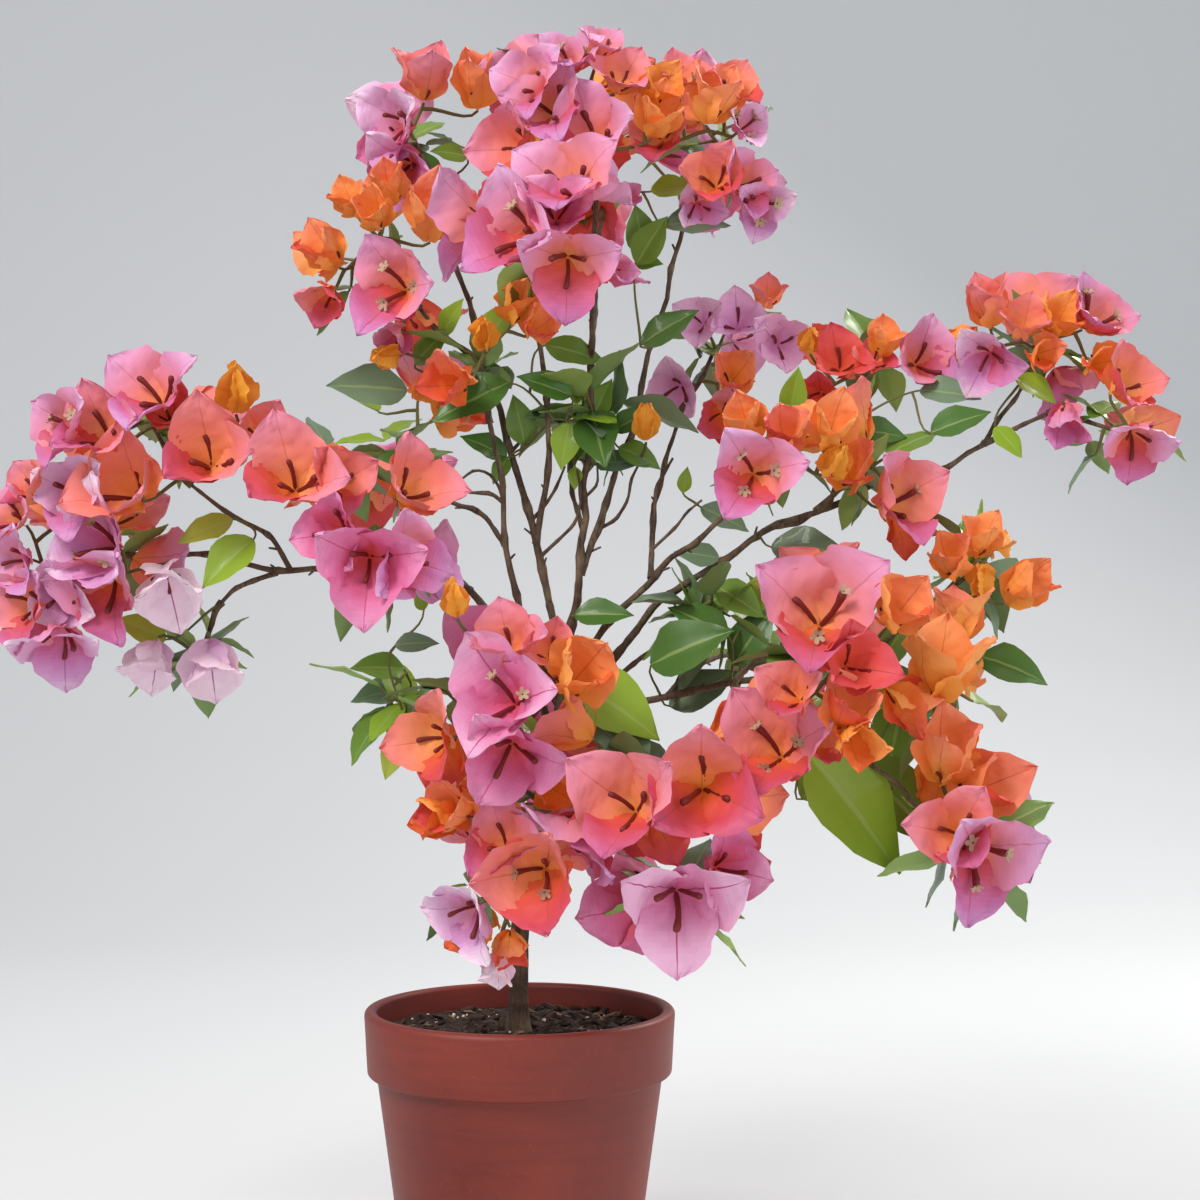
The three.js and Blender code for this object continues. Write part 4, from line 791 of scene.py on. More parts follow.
def socket_of(sockets, key):
    """A socket by its number or its identifier."""
    return sockets[key] if isinstance(key, int) else next(s for s in sockets if s.identifier == key)


class Tree:
    """A node tree whose nodes are made as expressions."""

    def __init__(self, tree):
        self.tree = tree

    def make(self, kind, settings=None, inputs=None, out=0):
        """Makes a node: its settings, then its socket values and links, and returns one of its outputs."""
        node = self.tree.nodes.new(kind)
        for name, value in (settings or {}).items():
            setattr(node, name, value)
        for key, value in (inputs or {}).items():
            socket = socket_of(node.inputs, key)
            if isinstance(value, Socket):
                self.tree.links.new(value.output, socket)
            else:
                socket.default_value = value
        return Socket(self, socket_of(node.outputs, out))

    def noise(self, where, scale, detail=3.0, rough=0.55, distort=0.0):
        return self.make("ShaderNodeTexNoise", {}, {
            "Vector": where, "Scale": scale, "Detail": detail, "Roughness": rough, "Distortion": distort})

    def mix(self, factor, first, second):
        return self.make("ShaderNodeMix", {"data_type": "RGBA"}, {
            "Factor_Float": factor, "A_Color": first, "B_Color": second}, "Result_Color")

    def stretched(self, where, amounts):
        return self.make("ShaderNodeVectorMath", {"operation": "MULTIPLY"}, {0: where, 1: amounts})


def colour(code):
    """A hexadecimal colour as linear light."""
    parts = [int(code[k:k + 2], 16) / 255 for k in (1, 3, 5)]
    return tuple(p / 12.92 if p <= 0.04045 else ((p + 0.055) / 1.055) ** 2.4 for p in parts) + (1.0,)


def blend(stops, share):
    """A colour part of the way along a row of colours."""
    place = min(max(share, 0), 0.9999) * (len(stops) - 1)
    step = int(place)
    first, second = np.array(stops[step]), np.array(stops[step + 1])
    return tuple(first + (second - first) * (place - step))


def plain(name, code, roughness=0.5, painted_glow=0.0, coat=0.0):
    """A material of one base colour, whose relief and shading come from the mesh; a glow in that same colour,
    where given, is painted light.
    """
    material = bpy.data.materials.new(name)
    material.use_nodes = True
    shader = material.node_tree.nodes["Principled BSDF"]
    shader.inputs["Base Color"].default_value = code if isinstance(code, tuple) else colour(code)
    shader.inputs["Roughness"].default_value = roughness
    # Painted light: the surface glows in its own base colour, though it is no lamp
    if painted_glow:
        shader.inputs["Emission Color"].default_value = shader.inputs["Base Color"].default_value
        shader.inputs["Emission Strength"].default_value = painted_glow
    shader.inputs["Coat Weight"].default_value = coat
    shader.inputs["Specular IOR Level"].default_value = 0.35
    return material


def worked(name):
    """A material to be written as expressions: its tree, its shader node, and the Object coordinates."""
    material = bpy.data.materials.new(name)
    material.use_nodes = True
    tree = Tree(material.node_tree)
    where = tree.make("ShaderNodeTexCoord", out="Object")
    return material, tree, material.node_tree.nodes["Principled BSDF"], where


def feed(shader, name, value):
    value.tree.tree.links.new(value.output, shader.inputs[name])


def feed_bump(shader, height, strength, distance):
    """Relief too fine for the mesh."""
    feed(shader, "Normal", height.tree.make("ShaderNodeBump", {}, {
        "Strength": strength, "Distance": distance, "Height": height}))


# Materials: for each family the row of colours that its bracts go through, and how many tones it is cut into

BRACT_ROUGHNESS = 0.6
# Painted light: the bracts glow a little in their own colour, as if lit through from behind, which also lifts
# their shade
BRACT_PAINTED_GLOW = 0.09
WARM = [colour(c) for c in (
    "#dc9626", "#e89a34", "#ee9c44", "#f09854", "#ec8e5c", "#e88266", "#e47c70", "#e07e80", "#de8292",
    "#da86a2", "#d98eb2", "#d79abf", "#daa8cb", "#e7c6db", "#f0dce6")]
DEEP = [colour(c) for c in ("#dc5a30", "#dc5240", "#d44e5c", "#d0567e", "#d6709c", "#dc8eb4", "#e8b2d0")]
VIOLET = [colour(c) for c in ("#e088b2", "#de96c2", "#dea4cc", "#e6b8d8")]
# The lower bracts of a bloom are painted deeper in colour: these darker tones are painted shade, for bracts
# that hang down out of the light that the upper bracts catch from behind
WARM_PAINTED_SHADE = [colour(c) for c in (
    "#d4821c", "#de8026", "#e2762c", "#e26a32", "#dc5c3a", "#d65042", "#d04a4e", "#cc4e60", "#ca5876",
    "#c8628c", "#ca70a2", "#c880b2", "#ce94c0", "#e2bcd6", "#f0d8e4")]
FAMILIES = {"warm": (WARM, 60), "warm_low": (WARM_PAINTED_SHADE, 40), "deep": (DEEP, 28), "violet": (VIOLET, 12)}
VEINS = {
    "warm": ["#d28438", "#d07058", "#cc7288", "#c888ae"],
    # Darker veins for the painted-shade tones of the hanging bracts
    "warm_low": ["#c07028", "#ba5240", "#b4526c", "#ae689c"],
    "deep": ["#b43c34", "#ba4e74"],
    "violet": ["#bc7cb0"],
}

bract_materials = []
tone_start, tone_count, vein_start, vein_count = {}, {}, {}, {}
for family, (stops, count) in FAMILIES.items():
    tone_start[family], tone_count[family] = len(bract_materials), count
    for k in range(count):
        shade = blend(stops, k / (count - 1))
        bract_materials.append(plain(f"{family}_bract_{k:02d}", shade, BRACT_ROUGHNESS, BRACT_PAINTED_GLOW))
    vein_start[family], vein_count[family] = len(bract_materials), len(VEINS[family])
    for k, code in enumerate(VEINS[family]):
        bract_materials.append(plain(f"{family}_vein_{k}", code, BRACT_ROUGHNESS, BRACT_PAINTED_GLOW))

# The greens are partly the leaves' own varied colour and partly painted light: the bright and yellow greens
# paint leaves lit from behind, the grey green paints the sky's sheen on glossy leaves, and the deep green
# paints leaves in shadow
GREENS = {"bright": "#8cae30", "yellow": "#a8b640", "mid": "#6c9034", "deep": "#4a722c", "grey": "#708a6a"}
leaf_materials = [plain(f"leaf_{name}", code, 0.38, 0.0, 0.15) for name, code in GREENS.items()]
leaf_materials += [plain(f"leaf_{name}_back", blend([colour(code), colour("#93aa80")], 0.4), 0.6)
                   for name, code in GREENS.items()]
leaf_materials += [plain(f"leaf_{name}_rib", blend([colour(code), colour("#a9c070")], 0.4), 0.45)
                   for name, code in GREENS.items()]


def bark_material():
    material, tree, shader, where = worked("bark")
    fine = tree.noise(where, 900.0, 4.0, 0.6)
    broad = tree.noise(where, 90.0, 3.0, 0.5, 0.3)
    cracks = tree.noise(tree.stretched(where, (1.0, 1.0, 0.12)), 700.0, 3.0, 0.65)
    tone = tree.mix(broad.between(0.35, 0.68), colour("#4e3e30"), colour("#7c6952"))
    tone = tree.mix(cracks.between(0.5, 0.7), tone, colour("#33271f"))
    tone = tree.mix(fine.between(0.6, 0.8) * 0.5, tone, colour("#a89679"))
    feed(shader, "Base Color", tone)
    feed(shader, "Roughness", 0.95 - broad * 0.25)
    feed_bump(shader, cracks * -1.0 + fine * 0.4, 0.6, 0.0006)
    return material


def terracotta_material():
    material, tree, shader, where = worked("terracotta")
    broad = tree.noise(where, 14.0, 4.0, 0.55, 0.4)
    speck = tree.noise(where, 620.0, 2.0, 0.6)
    rings = tree.noise(tree.stretched(where, (1.0, 1.0, 9.0)), 26.0, 3.0, 0.5)
    tone = tree.mix(broad.between(0.3, 0.7), colour("#70241a"), colour("#873122"))
    tone = tree.mix(rings.between(0.45, 0.75) * 0.35, tone, colour("#662016"))
    tone = tree.mix(speck.between(0.62, 0.78) * 0.35, tone, colour("#a04c36"))
    tone = tree.mix((1.0 - speck).between(0.66, 0.8) * 0.4, tone, colour("#4e1812"))
    feed(shader, "Base Color", tone)
    feed(shader, "Roughness", 0.38 + broad * 0.25)
    feed_bump(shader, speck * 0.5 + rings * 0.8, 0.25, 0.0004)
    return material


def soil_material(name, dark, light, scale):
    material, tree, shader, where = worked(name)
    grain = tree.noise(where, scale, 4.0, 0.65)
    feed(shader, "Base Color", tree.mix(grain.between(0.35, 0.7), colour(dark), colour(light)))
    feed(shader, "Roughness", 0.98 - grain * 0.2)
    feed_bump(shader, grain, 0.8, 0.0008)
    return material


# Meshes

SHARP_ANGLE = math.radians(65)


def linked(name, data):
    """A new object in the scene."""
    made = bpy.data.objects.new(name, data)
    bpy.context.scene.collection.objects.link(made)
    return made


def mesh_object(name, points_mm, quads, materials, indices=None):
    """An object with its place in its mesh. A face's fourth corner may be -1, for a triangle."""
    mesh = bpy.data.meshes.new(name)
    points = np.asarray(points_mm, dtype=np.float32) / 1000
    quads = np.asarray(quads, dtype=np.int32).reshape(-1, 4)
    sizes = np.where(quads[:, 3] < 0, 3, 4)
    loops = quads[quads >= 0]
    mesh.vertices.add(len(points))
    mesh.vertices.foreach_set("co", points.ravel())
    mesh.loops.add(len(loops))
    mesh.loops.foreach_set("vertex_index", loops)
    mesh.polygons.add(len(quads))
    mesh.polygons.foreach_set("loop_start", np.concatenate([[0], np.cumsum(sizes)[:-1]]).astype(np.int32))
    for material in materials:
        mesh.materials.append(material)
    if indices is not None:
        mesh.polygons.foreach_set("material_index", np.asarray(indices, dtype=np.int32))
    mesh.polygons.foreach_set("use_smooth", np.ones(len(quads), dtype=bool))
    mesh.update(calc_edges=True)
    mesh.set_sharp_from_angle(angle=SHARP_ANGLE)
    return linked(name, mesh)


def finished(piece, nodes):
    """Puts a piece on the root body, and hides the nodes that it stands in for."""
    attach(piece, "root")
    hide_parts(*nodes)


def paths_object(name, paths, sides, relief, grain, material):
    """Tubes along paths of points and radii, made by Geometry Nodes with relief on their skin."""
    points = np.concatenate([path[0] for path in paths]) / 1000
    girths = np.concatenate([path[1] for path in paths]) / 1000
    edges, start = [], 0
    for path, _ in paths:
        edges += [(k, k + 1) for k in range(start, start + len(path) - 1)]
        start += len(path)
    mesh = bpy.data.meshes.new(name)
    mesh.from_pydata(points.tolist(), edges, [])
    mesh.attributes.new("girth", "FLOAT", "POINT").data.foreach_set("value", girths.astype(np.float32))
    values = {"Sides": sides, "Relief": relief, "Grain": grain, "Material": material}
    return run_nodes(linked(name, mesh), tube_tree(), values)


def node_group(name, inputs):
    """An empty Geometry Nodes tree with named inputs, its input geometry, and a way to end it."""
    group = bpy.data.node_groups.new(name, "GeometryNodeTree")
    group.interface.new_socket("Geometry", in_out="INPUT", socket_type="NodeSocketGeometry")
    for label, kind in inputs:
        group.interface.new_socket(label, in_out="INPUT", socket_type=kind)
    group.interface.new_socket("Geometry", in_out="OUTPUT", socket_type="NodeSocketGeometry")
    tree = Tree(group)
    entry = group.nodes.new("NodeGroupInput")
    given = {socket.name: Socket(tree, socket) for socket in entry.outputs if socket.name}
    leave = group.nodes.new("NodeGroupOutput")

    def end(geometry):
        group.links.new(geometry.output, leave.inputs[0])
        return group

    return tree, given, end


def tube_tree():
    """A tube along each path, as thick as the path says, with uneven skin."""
    tree, given, end = node_group("tubes", [
        ("Sides", "NodeSocketInt"), ("Relief", "NodeSocketFloat"), ("Grain", "NodeSocketFloat"),
        ("Material", "NodeSocketMaterial")])
    girth = tree.make("GeometryNodeInputNamedAttribute", {"data_type": "FLOAT"}, {"Name": "girth"})
    curve = tree.make("GeometryNodeMeshToCurve", {}, {"Mesh": given["Geometry"]})
    ring = tree.make("GeometryNodeCurvePrimitiveCircle", {"mode": "RADIUS"}, {
        "Resolution": given["Sides"], "Radius": 1.0})
    tube = tree.make("GeometryNodeCurveToMesh", {}, {
        "Curve": curve, "Profile Curve": ring, "Scale": girth, "Fill Caps": True})
    place = tree.make("GeometryNodeInputPosition")
    normal = tree.make("GeometryNodeInputNormal")
    long_way = tree.stretched(place, (1.0, 1.0, 0.35))
    bumps = tree.noise(long_way, given["Grain"], 2.0, 0.5)
    height = (bumps - 0.5) * given["Relief"] * girth
    offset = tree.make("ShaderNodeVectorMath", {"operation": "SCALE"}, {"Vector": normal, "Scale": height})
    tube = tree.make("GeometryNodeSetPosition", {}, {"Geometry": tube, "Offset": offset})
    tube = tree.make("GeometryNodeSetShadeSmooth", {}, {"Geometry": tube, "Shade Smooth": True})
    tube = tree.make("GeometryNodeRealizeInstances", {}, {"Geometry": tube})
    return end(tree.make("GeometryNodeSetMaterial", {}, {"Geometry": tube, "Material": given["Material"]}))


def run_nodes(made, group, values):
    """Gives an object a node tree with its inputs set, and keeps the finished mesh."""
    modifier = made.modifiers.new("grown", "NODES")
    modifier.node_group = group
    for item in group.interface.items_tree:
        if item.in_out == "INPUT" and item.name in values:
            modifier[item.identifier] = values[item.name]
    bpy.context.view_layer.update()
    shown = made.evaluated_get(bpy.context.evaluated_depsgraph_get())
    mesh = bpy.data.meshes.new_from_object(shown)
    made.modifiers.clear()
    made.data = mesh
    return made


def spread_tree():
    """Copies of one shape on points, each turned to its heading and scaled to its size."""
    tree, given, end = node_group("spread", [
        ("Shape", "NodeSocketObject"), ("Material", "NodeSocketMaterial")])
    heading = tree.make("GeometryNodeInputNamedAttribute", {"data_type": "FLOAT_VECTOR"}, {"Name": "heading"})
    scale = tree.make("GeometryNodeInputNamedAttribute", {"data_type": "FLOAT_VECTOR"}, {"Name": "scale"})
    turn = tree.make("FunctionNodeAlignRotationToVector", {"axis": "Z"}, {"Vector": heading})
    shape = tree.make("GeometryNodeObjectInfo", {}, {"Object": given["Shape"]}, "Geometry")
    copies = tree.make("GeometryNodeInstanceOnPoints", {}, {
        "Points": given["Geometry"], "Instance": shape, "Rotation": turn, "Scale": scale})
    real = tree.make("GeometryNodeRealizeInstances", {}, {"Geometry": copies})
    return end(tree.make("GeometryNodeSetMaterial", {}, {"Geometry": real, "Material": given["Material"]}))


def copies_object(name, shape, places, headings, scales, material, smooth=True):
    """Copies of a shape as one mesh."""
    mesh = bpy.data.meshes.new(name)
    mesh.from_pydata((np.array(places) / 1000).tolist(), [], [])
    for label, values in (("heading", headings), ("scale", scales)):
        data = np.array(values, dtype=np.float32).ravel()
        mesh.attributes.new(label, "FLOAT_VECTOR", "POINT").data.foreach_set("vector", data)
    made = run_nodes(linked(name, mesh), spread_tree(), {"Shape": shape, "Material": material})
    made.data.polygons.foreach_set("use_smooth", np.full(len(made.data.polygons), smooth))
    return made


def around(radius, z, sides):
    """A ring of points."""
    turns = [2 * math.pi * k / sides for k in range(sides)]
    return [(radius * math.cos(turn), radius * math.sin(turn), z) for turn in turns]


def turned(profile, sides):
    """Points and faces of a closed turned shape, from radii and heights that start and end on the axis."""
    rings = profile[1:-1]
    points = [(0, 0, profile[0][1]), (0, 0, profile[-1][1])]
    for radius, z in rings:
        points += around(radius, z, sides)
    quads = []
    for k in range(sides):
        after = (k + 1) % sides
        quads.append((0, 2 + after, 2 + k, -1))
        for ring in range(len(rings) - 1):
            low, high = 2 + ring * sides, 2 + (ring + 1) * sides
            quads.append((low + k, low + after, high + after, high + k))
        top = 2 + (len(rings) - 1) * sides
        quads.append((1, top + k, top + after, -1))
    return points, quads


# Pot and soil

collar_foot = POT_HEIGHT - COLLAR_HEIGHT
body_top = RIM_RADIUS - COLLAR_TAPER - COLLAR_STEP
rim_inner = RIM_RADIUS - WALL + 0.6
POT_SIDES = 128
SOIL_SIDES = 96
SOIL_RINGS = 34
SOIL_DEPTH = 14
CHUNK_SIDES = 5
CLEAR_OF_TRUNK = 9
CLEAR_OF_WALL = 69
# Bits on the soil: name, how many, seed, least and most size, flatness, stretch, dark and light colour
SOIL_BITS = [
    ("bark_chips", 620, 1, (1.2, 4.6), 0.5, 1.5, ("#1c120d", "#4a3226")),
    ("pale_chips", 150, 2, (1.0, 3.4), 0.35, 2.2, ("#5a4232", "#9a7c60")),
    ("white_grains", 130, 3, (0.8, 2.0), 0.8, 1.0, ("#cfc6b6", "#f1ece2")),
]


def arc(centre_r, centre_z, radius, start, stop, steps):
    """Part of a circle in a profile, between two angles in degrees."""
    angles = np.radians(np.linspace(start, stop, steps))
    return [(centre_r + radius * math.cos(a), centre_z + radius * math.sin(a)) for a in angles]


def inner_at(z):
    """The radius inside the pot's wall, below its collar."""
    return BASE_RADIUS + (body_top - BASE_RADIUS) * z / collar_foot - WALL


def build_pot():
    wall = [(BASE_RADIUS + (body_top - BASE_RADIUS) * t - 0.1, 2 + (collar_foot - 4) * t)
            for t in np.linspace(0, 1, 9)]
    collar = RIM_RADIUS - COLLAR_TAPER
    # Foot and wall
    profile = [(0, 0), (BASE_RADIUS - 2.2, 0)]
    profile += arc(BASE_RADIUS - 2.2, 2.1, 2.1, -80, -5, 4)
    profile += wall
    profile += [(body_top + 0.2, collar_foot - 1), (body_top + 1.2, collar_foot - 0.3)]
    # Collar and rim
    profile += [(collar - 2, collar_foot)]
    profile += arc(collar - 1.6, collar_foot + 1.6, 1.5, -80, 0, 4)
    profile += [(collar + 0.4, collar_foot + 10), (collar + 0.9, collar_foot + 20)]
    profile += arc(RIM_RADIUS - 3, POT_HEIGHT - 3, 3, 0, 90, 7)
    profile += arc(rim_inner + 2.5, POT_HEIGHT - 2.5, 2.5, 100, 180, 5)
    # Inside, down to the floor
    profile += [(rim_inner - 1, POT_HEIGHT - 14), (rim_inner - 2, collar_foot + 6),
                (inner_at(collar_foot) + 0.2, collar_foot - 2), (inner_at(FLOOR), FLOOR), (0, FLOOR)]
    return mesh_object("clay_pot", *turned(profile, POT_SIDES), [terracotta_material()])


def soil_height(x, y):
    """The lumpy top of the soil, even at the trunk and at the pot's wall."""
    radius = math.hypot(x, y)
    low = 1.3 * math.sin(x * 0.31) * math.cos(y * 0.37) + 0.8 * math.sin(x * 0.83 + y * 0.6)
    low += 0.6 * math.sin(1.7 * x) * math.sin(1.5 * y + 1)
    ease = smoothstep(radius, 3, 14) * (1 - smoothstep(radius, 62, 70))
    return SOIL_LEVEL + low * ease - 0.6


def build_soil():
    edge = rim_inner - 2 + 2 * (SOIL_LEVEL - collar_foot - 6) / (POT_HEIGHT - collar_foot - 8) - 0.4
    points = [(0, 0, soil_height(0, 0)), (0, 0, SOIL_LEVEL - SOIL_DEPTH)]
    for ring in range(1, SOIL_RINGS + 1):
        points += [(x, y, soil_height(x, y)) for x, y, _ in around(edge * ring / SOIL_RINGS, 0, SOIL_SIDES)]
    points += around(edge - 1.4, SOIL_LEVEL - SOIL_DEPTH, SOIL_SIDES)
    quads = []
    for k in range(SOIL_SIDES):
        after = (k + 1) % SOIL_SIDES
        quads.append((0, 2 + k, 2 + after, -1))
        for ring in range(SOIL_RINGS):
            low, high = 2 + ring * SOIL_SIDES, 2 + (ring + 1) * SOIL_SIDES
            quads.append((low + k, high + k, high + after, low + after))
        quads.append((1, 2 + SOIL_RINGS * SOIL_SIDES + after, 2 + SOIL_RINGS * SOIL_SIDES + k, -1))
    return mesh_object("potting_soil", points, quads, [soil_material("soil", "#120c09", "#3a281f", 420.0)])


def chunk_shape(name, seed, stretch):
    """A broken lump of a few faces, about one millimetre across."""
    generator = np.random.default_rng(seed)
    corners, quads = [], []
    for k in range(CHUNK_SIDES):
        turn = 2 * math.pi * k / CHUNK_SIDES
        for z, wide in ((-0.28, 0.85), (0.28, 0.7)):
            jitter = 0.75 + 0.5 * generator.random()
            corners.append((wide * jitter * math.cos(turn) * stretch, wide * jitter * math.sin(turn), z))
    corners += [(0, 0, -0.45), (0, 0, 0.42)]
    foot, top = 2 * CHUNK_SIDES, 2 * CHUNK_SIDES + 1
    for k in range(CHUNK_SIDES):
        low, after = 2 * k, 2 * ((k + 1) % CHUNK_SIDES)
        quads += [(low, after, after + 1, low + 1), (after, low, foot, -1), (low + 1, after + 1, top, -1)]
    shape = mesh_object(name, corners, quads, [])
    return shape


def scatter_on_soil(name, shape, count, seed, size, flat, material):
    """Lumps lying on the soil, clear of the trunk and the pot's wall."""
    generator = np.random.default_rng(seed)
    places, headings, scales = [], [], []
    while len(places) < count:
        x, y = generator.uniform(-70, 70, 2)
        if not CLEAR_OF_TRUNK <= math.hypot(x, y) <= CLEAR_OF_WALL:
            continue
        big = size[0] + (size[1] - size[0]) * generator.random() ** 2
        tilt = generator.normal(0, 0.35, 2)
        places.append((x, y, soil_height(x, y) + big * flat * 0.35))
        headings.append((tilt[0], tilt[1], 1))
        scales.append((big, big * (0.7 + 0.3 * generator.random()), big * flat * 1.6))
    return copies_object(name, shape, places, headings, scales, material, False)


def build_soil_bits():
    for name, count, seed, size, flat, stretch, (dark, light) in SOIL_BITS:
        shape = chunk_shape(name + "_shape", seed, stretch)
        material = soil_material(name, dark, light, 300.0)
        piece = scatter_on_soil(name, shape, count, seed + 10, size, flat, material)
        bpy.data.objects.remove(shape)
        finished(piece, ["soil"])


# Trunk, boughs, stems and twigs

CORNER_EASE = 0.3
FOOT_DEPTH = 3
TRUNK_SEED = 5


def rounded(route, step=3.0):
    """A route with its corners eased and points every few millimetres, and the share of each along it."""
    points = [np.asarray(p, dtype=float) for p in route]
    path = [points[0]]
    for before, here, after in zip(points, points[1:], points[2:]):
        enter = here + (before - here) * CORNER_EASE
        leave = here + (after - here) * CORNER_EASE
        path.append(enter)
        path += [(1 - t) ** 2 * enter + 2 * t * (1 - t) * here + t * t * leave for t in (0.33, 0.66)]
        path.append(leave)
    path.append(points[-1])
    path = np.array(path)
    lengths = np.concatenate([[0], np.cumsum(np.linalg.norm(np.diff(path, axis=0), axis=1))])
    count = max(4, int(lengths[-1] / step))
    wanted = np.linspace(0, lengths[-1], count + 1)
    smooth = np.stack([np.interp(wanted, lengths, path[:, k]) for k in range(3)], axis=1)
    corners = [np.argmin(np.linalg.norm(smooth - p, axis=1)) for p in points[1:-1]]
    return smooth, np.linspace(0, 1, count + 1), corners


def limb_path(route, first, last, seed, knot=0.36, wander=0.85):
    """A limb's middle line and its radii, swollen at the nodes and wandering a little between them."""
    smooth, share, corners = rounded(route)
    generator = np.random.default_rng(seed)
    radius = first + (last - first) * share
    order = np.arange(len(share))
    for corner in corners:
        radius = radius * (1 + knot * np.exp(-((order - corner) / 1.1) ** 2))
    radius = radius * (1 + 0.05 * generator.standard_normal(len(share)))
    radius = radius * (1 + 0.35 * np.exp(-order / 1.5))
    turns = np.linspace(0, len(share) - 1, max(3, len(share) // 5 + 1))
    drift = generator.standard_normal((len(turns), 3)) * wander
    drift[0] = drift[-1] = 0
    smooth = smooth + np.stack([np.interp(order, turns, drift[:, k]) for k in range(3)], axis=1)
    return smooth, radius


def trunk_path():
    smooth, share, _ = rounded(routes["trunk"])
    height = smooth[:, 2] - smooth[0, 2]
    radius = TRUNK_RADIUS + (TRUNK_TOP_RADIUS - TRUNK_RADIUS) * share + TRUNK_FLARE * np.exp(-height / 5)
    generator = np.random.default_rng(TRUNK_SEED)
    for z in TRUNK_NODES:
        radius = radius * (1 + 0.1 * np.exp(-((smooth[:, 2] - z) / 4) ** 2))
    smooth[0, 2] -= FOOT_DEPTH
    return smooth, radius * (1 + 0.02 * generator.standard_normal(len(share)))


def bezier(p0, p1, p2, p3, count):
    t = np.linspace(0, 1, count)[:, None]
    return (1 - t) ** 3 * p0 + 3 * t * (1 - t) ** 2 * p1 + 3 * t * t * (1 - t) * p2 + t ** 3 * p3


# What keeps a twig off wood that isn't its own mass's, in millimetres
LIMB_COST = 26
OTHER_COST = 60
SHORTEST_TWIG = 9
TWIG_STEP = 4


class Skeleton:
    """Every point that a twig may leave from, by the mass that owns it."""

    def __init__(self):
        self.points, self.owners = [], []

    def add(self, points, owner):
        for point in points:
            self.points.append(point)
            self.owners.append(owner)

    def nearest(self, target, owner, behind):
        """The best place for a twig to leave from: near, on its own mass's wood, and behind the target."""
        points = np.array(self.points)
        gaps = points - target
        cost = np.linalg.norm(gaps, axis=1)
        forward = gaps @ behind
        costs = {owner: 0, "limb": LIMB_COST}
        cost = cost + np.where(forward > 0, forward * 0.8, 0) + np.where(cost < SHORTEST_TWIG, 30, 0)
        strangers = np.array([costs.get(other, OTHER_COST) for other in self.owners])
        return points[int(np.argmin(cost + strangers))]


# The wood that shows is slimmer than the source's limbs
LIMB_SLIMNESS = (0.7, 0.66)
STEM_RADII = (1.5, 1.0)
LIMB_SKIN_SEED = 50
STEM_SKIN_SEED = 150
TWIG_SKIN_SEED = 600
skeleton = Skeleton()
limb_paths, stem_paths, twig_paths, petiole_paths = [], [], [], []
for index, (name, *_, radii) in enumerate(LIMBS):
    first, last = radii[0] * LIMB_SLIMNESS[0], radii[1] * LIMB_SLIMNESS[1]
    limb_paths.append(limb_path(routes[name], first, last, LIMB_SKIN_SEED + index))
    skeleton.add(limb_paths[-1][0][2:], "limb")
trunk_points, trunk_radii = trunk_path()
skeleton.add(trunk_points[len(trunk_points) // 3:], "limb")
for index, mass in enumerate(masses):
    stem_paths.append(limb_path(mass.stem, *STEM_RADII, STEM_SKIN_SEED + index, 0.2, 0.4))
    skeleton.add(stem_paths[-1][0][2:], mass.name)


SIDE_TWIG_SEED = 40009
SPUR_SEED = 50021
SPUR_RADII = (0.8, 0.7, 0.62, 0.5)
SPUR_SPACING = 6
NO_SPUR_SHARE = 0.45


def side_twigs():
    """Side twigs without leaves, from the bough nearest to their first place in the picture."""
    wood = np.concatenate([path[0][2:-2] for path in limb_paths])
    seen = pixel_of(wood)
    made = []
    for index, (girth, places) in enumerate(BARE_TWIGS):
        random = random_from(SIDE_TWIG_SEED + index * 17)
        start = wood[int(np.argmin(np.linalg.norm(seen - np.array(places[0]), axis=1)))]
        back = 0.3 * (random() - 0.5)
        route = [start]
        for px, py in places[1:]:
            beyond = math.hypot(px - places[0][0], py - places[0][1]) * 0.5
            route.append(seen_at(px, py, start[1] + back * beyond))
        made.append(limb_path(route, girth, girth * 0.7, TWIG_SKIN_SEED + index, 0.3, 0.3))
        skeleton.add(made[-1][0][1:], "limb")
    return made


def spurs():
    """Short bare spurs along the boughs."""
    made = []
    for index, (points, radii) in enumerate(limb_paths):
        random = random_from(SPUR_SEED + index * 19)
        for place in range(4, len(points) - 5, SPUR_SPACING):
            if random() < NO_SPUR_SHARE:
                continue
            ahead = unit(points[place + 1] - points[place - 1])
            heading = lean_from(ahead, 0.6 + 0.5 * random(), 2 * math.pi * random())
            length = radii[place] + 1.5 + 4 * random()
            route = points[place] + heading * length * np.linspace(0, 1, len(SPUR_RADII))[:, None]
            made.append((route, np.array(SPUR_RADII)))
    return made


def grow_twig(target, arrive, owner, paths, first, last):
    """A twig from the nearest wood to a place, that comes to it along a given heading."""
    start = skeleton.nearest(target, owner, arrive)
    gap = np.linalg.norm(target - start)
    ahead = unit(target - start)
    leave = unit(ahead + vec(0, 0, 0.15))
    arrive = unit(arrive + ahead * 0.7)
    count = max(5, int(gap / TWIG_STEP))
    path = bezier(start, start + leave * gap * 0.35, target - arrive * gap * 0.3, target, count)
    share = np.linspace(0, 1, len(path))
    paths.append((path, first + (last - first) * share))
    skeleton.add(path[1:-1], owner)


def keep_inside(points):
    """How far to move points so that they lie inside the frame's box."""
    low, high = points.min(axis=0), points.max(axis=0)
    return np.maximum(BOX_LOW - low, 0) - np.maximum(high - BOX_HIGH, 0)


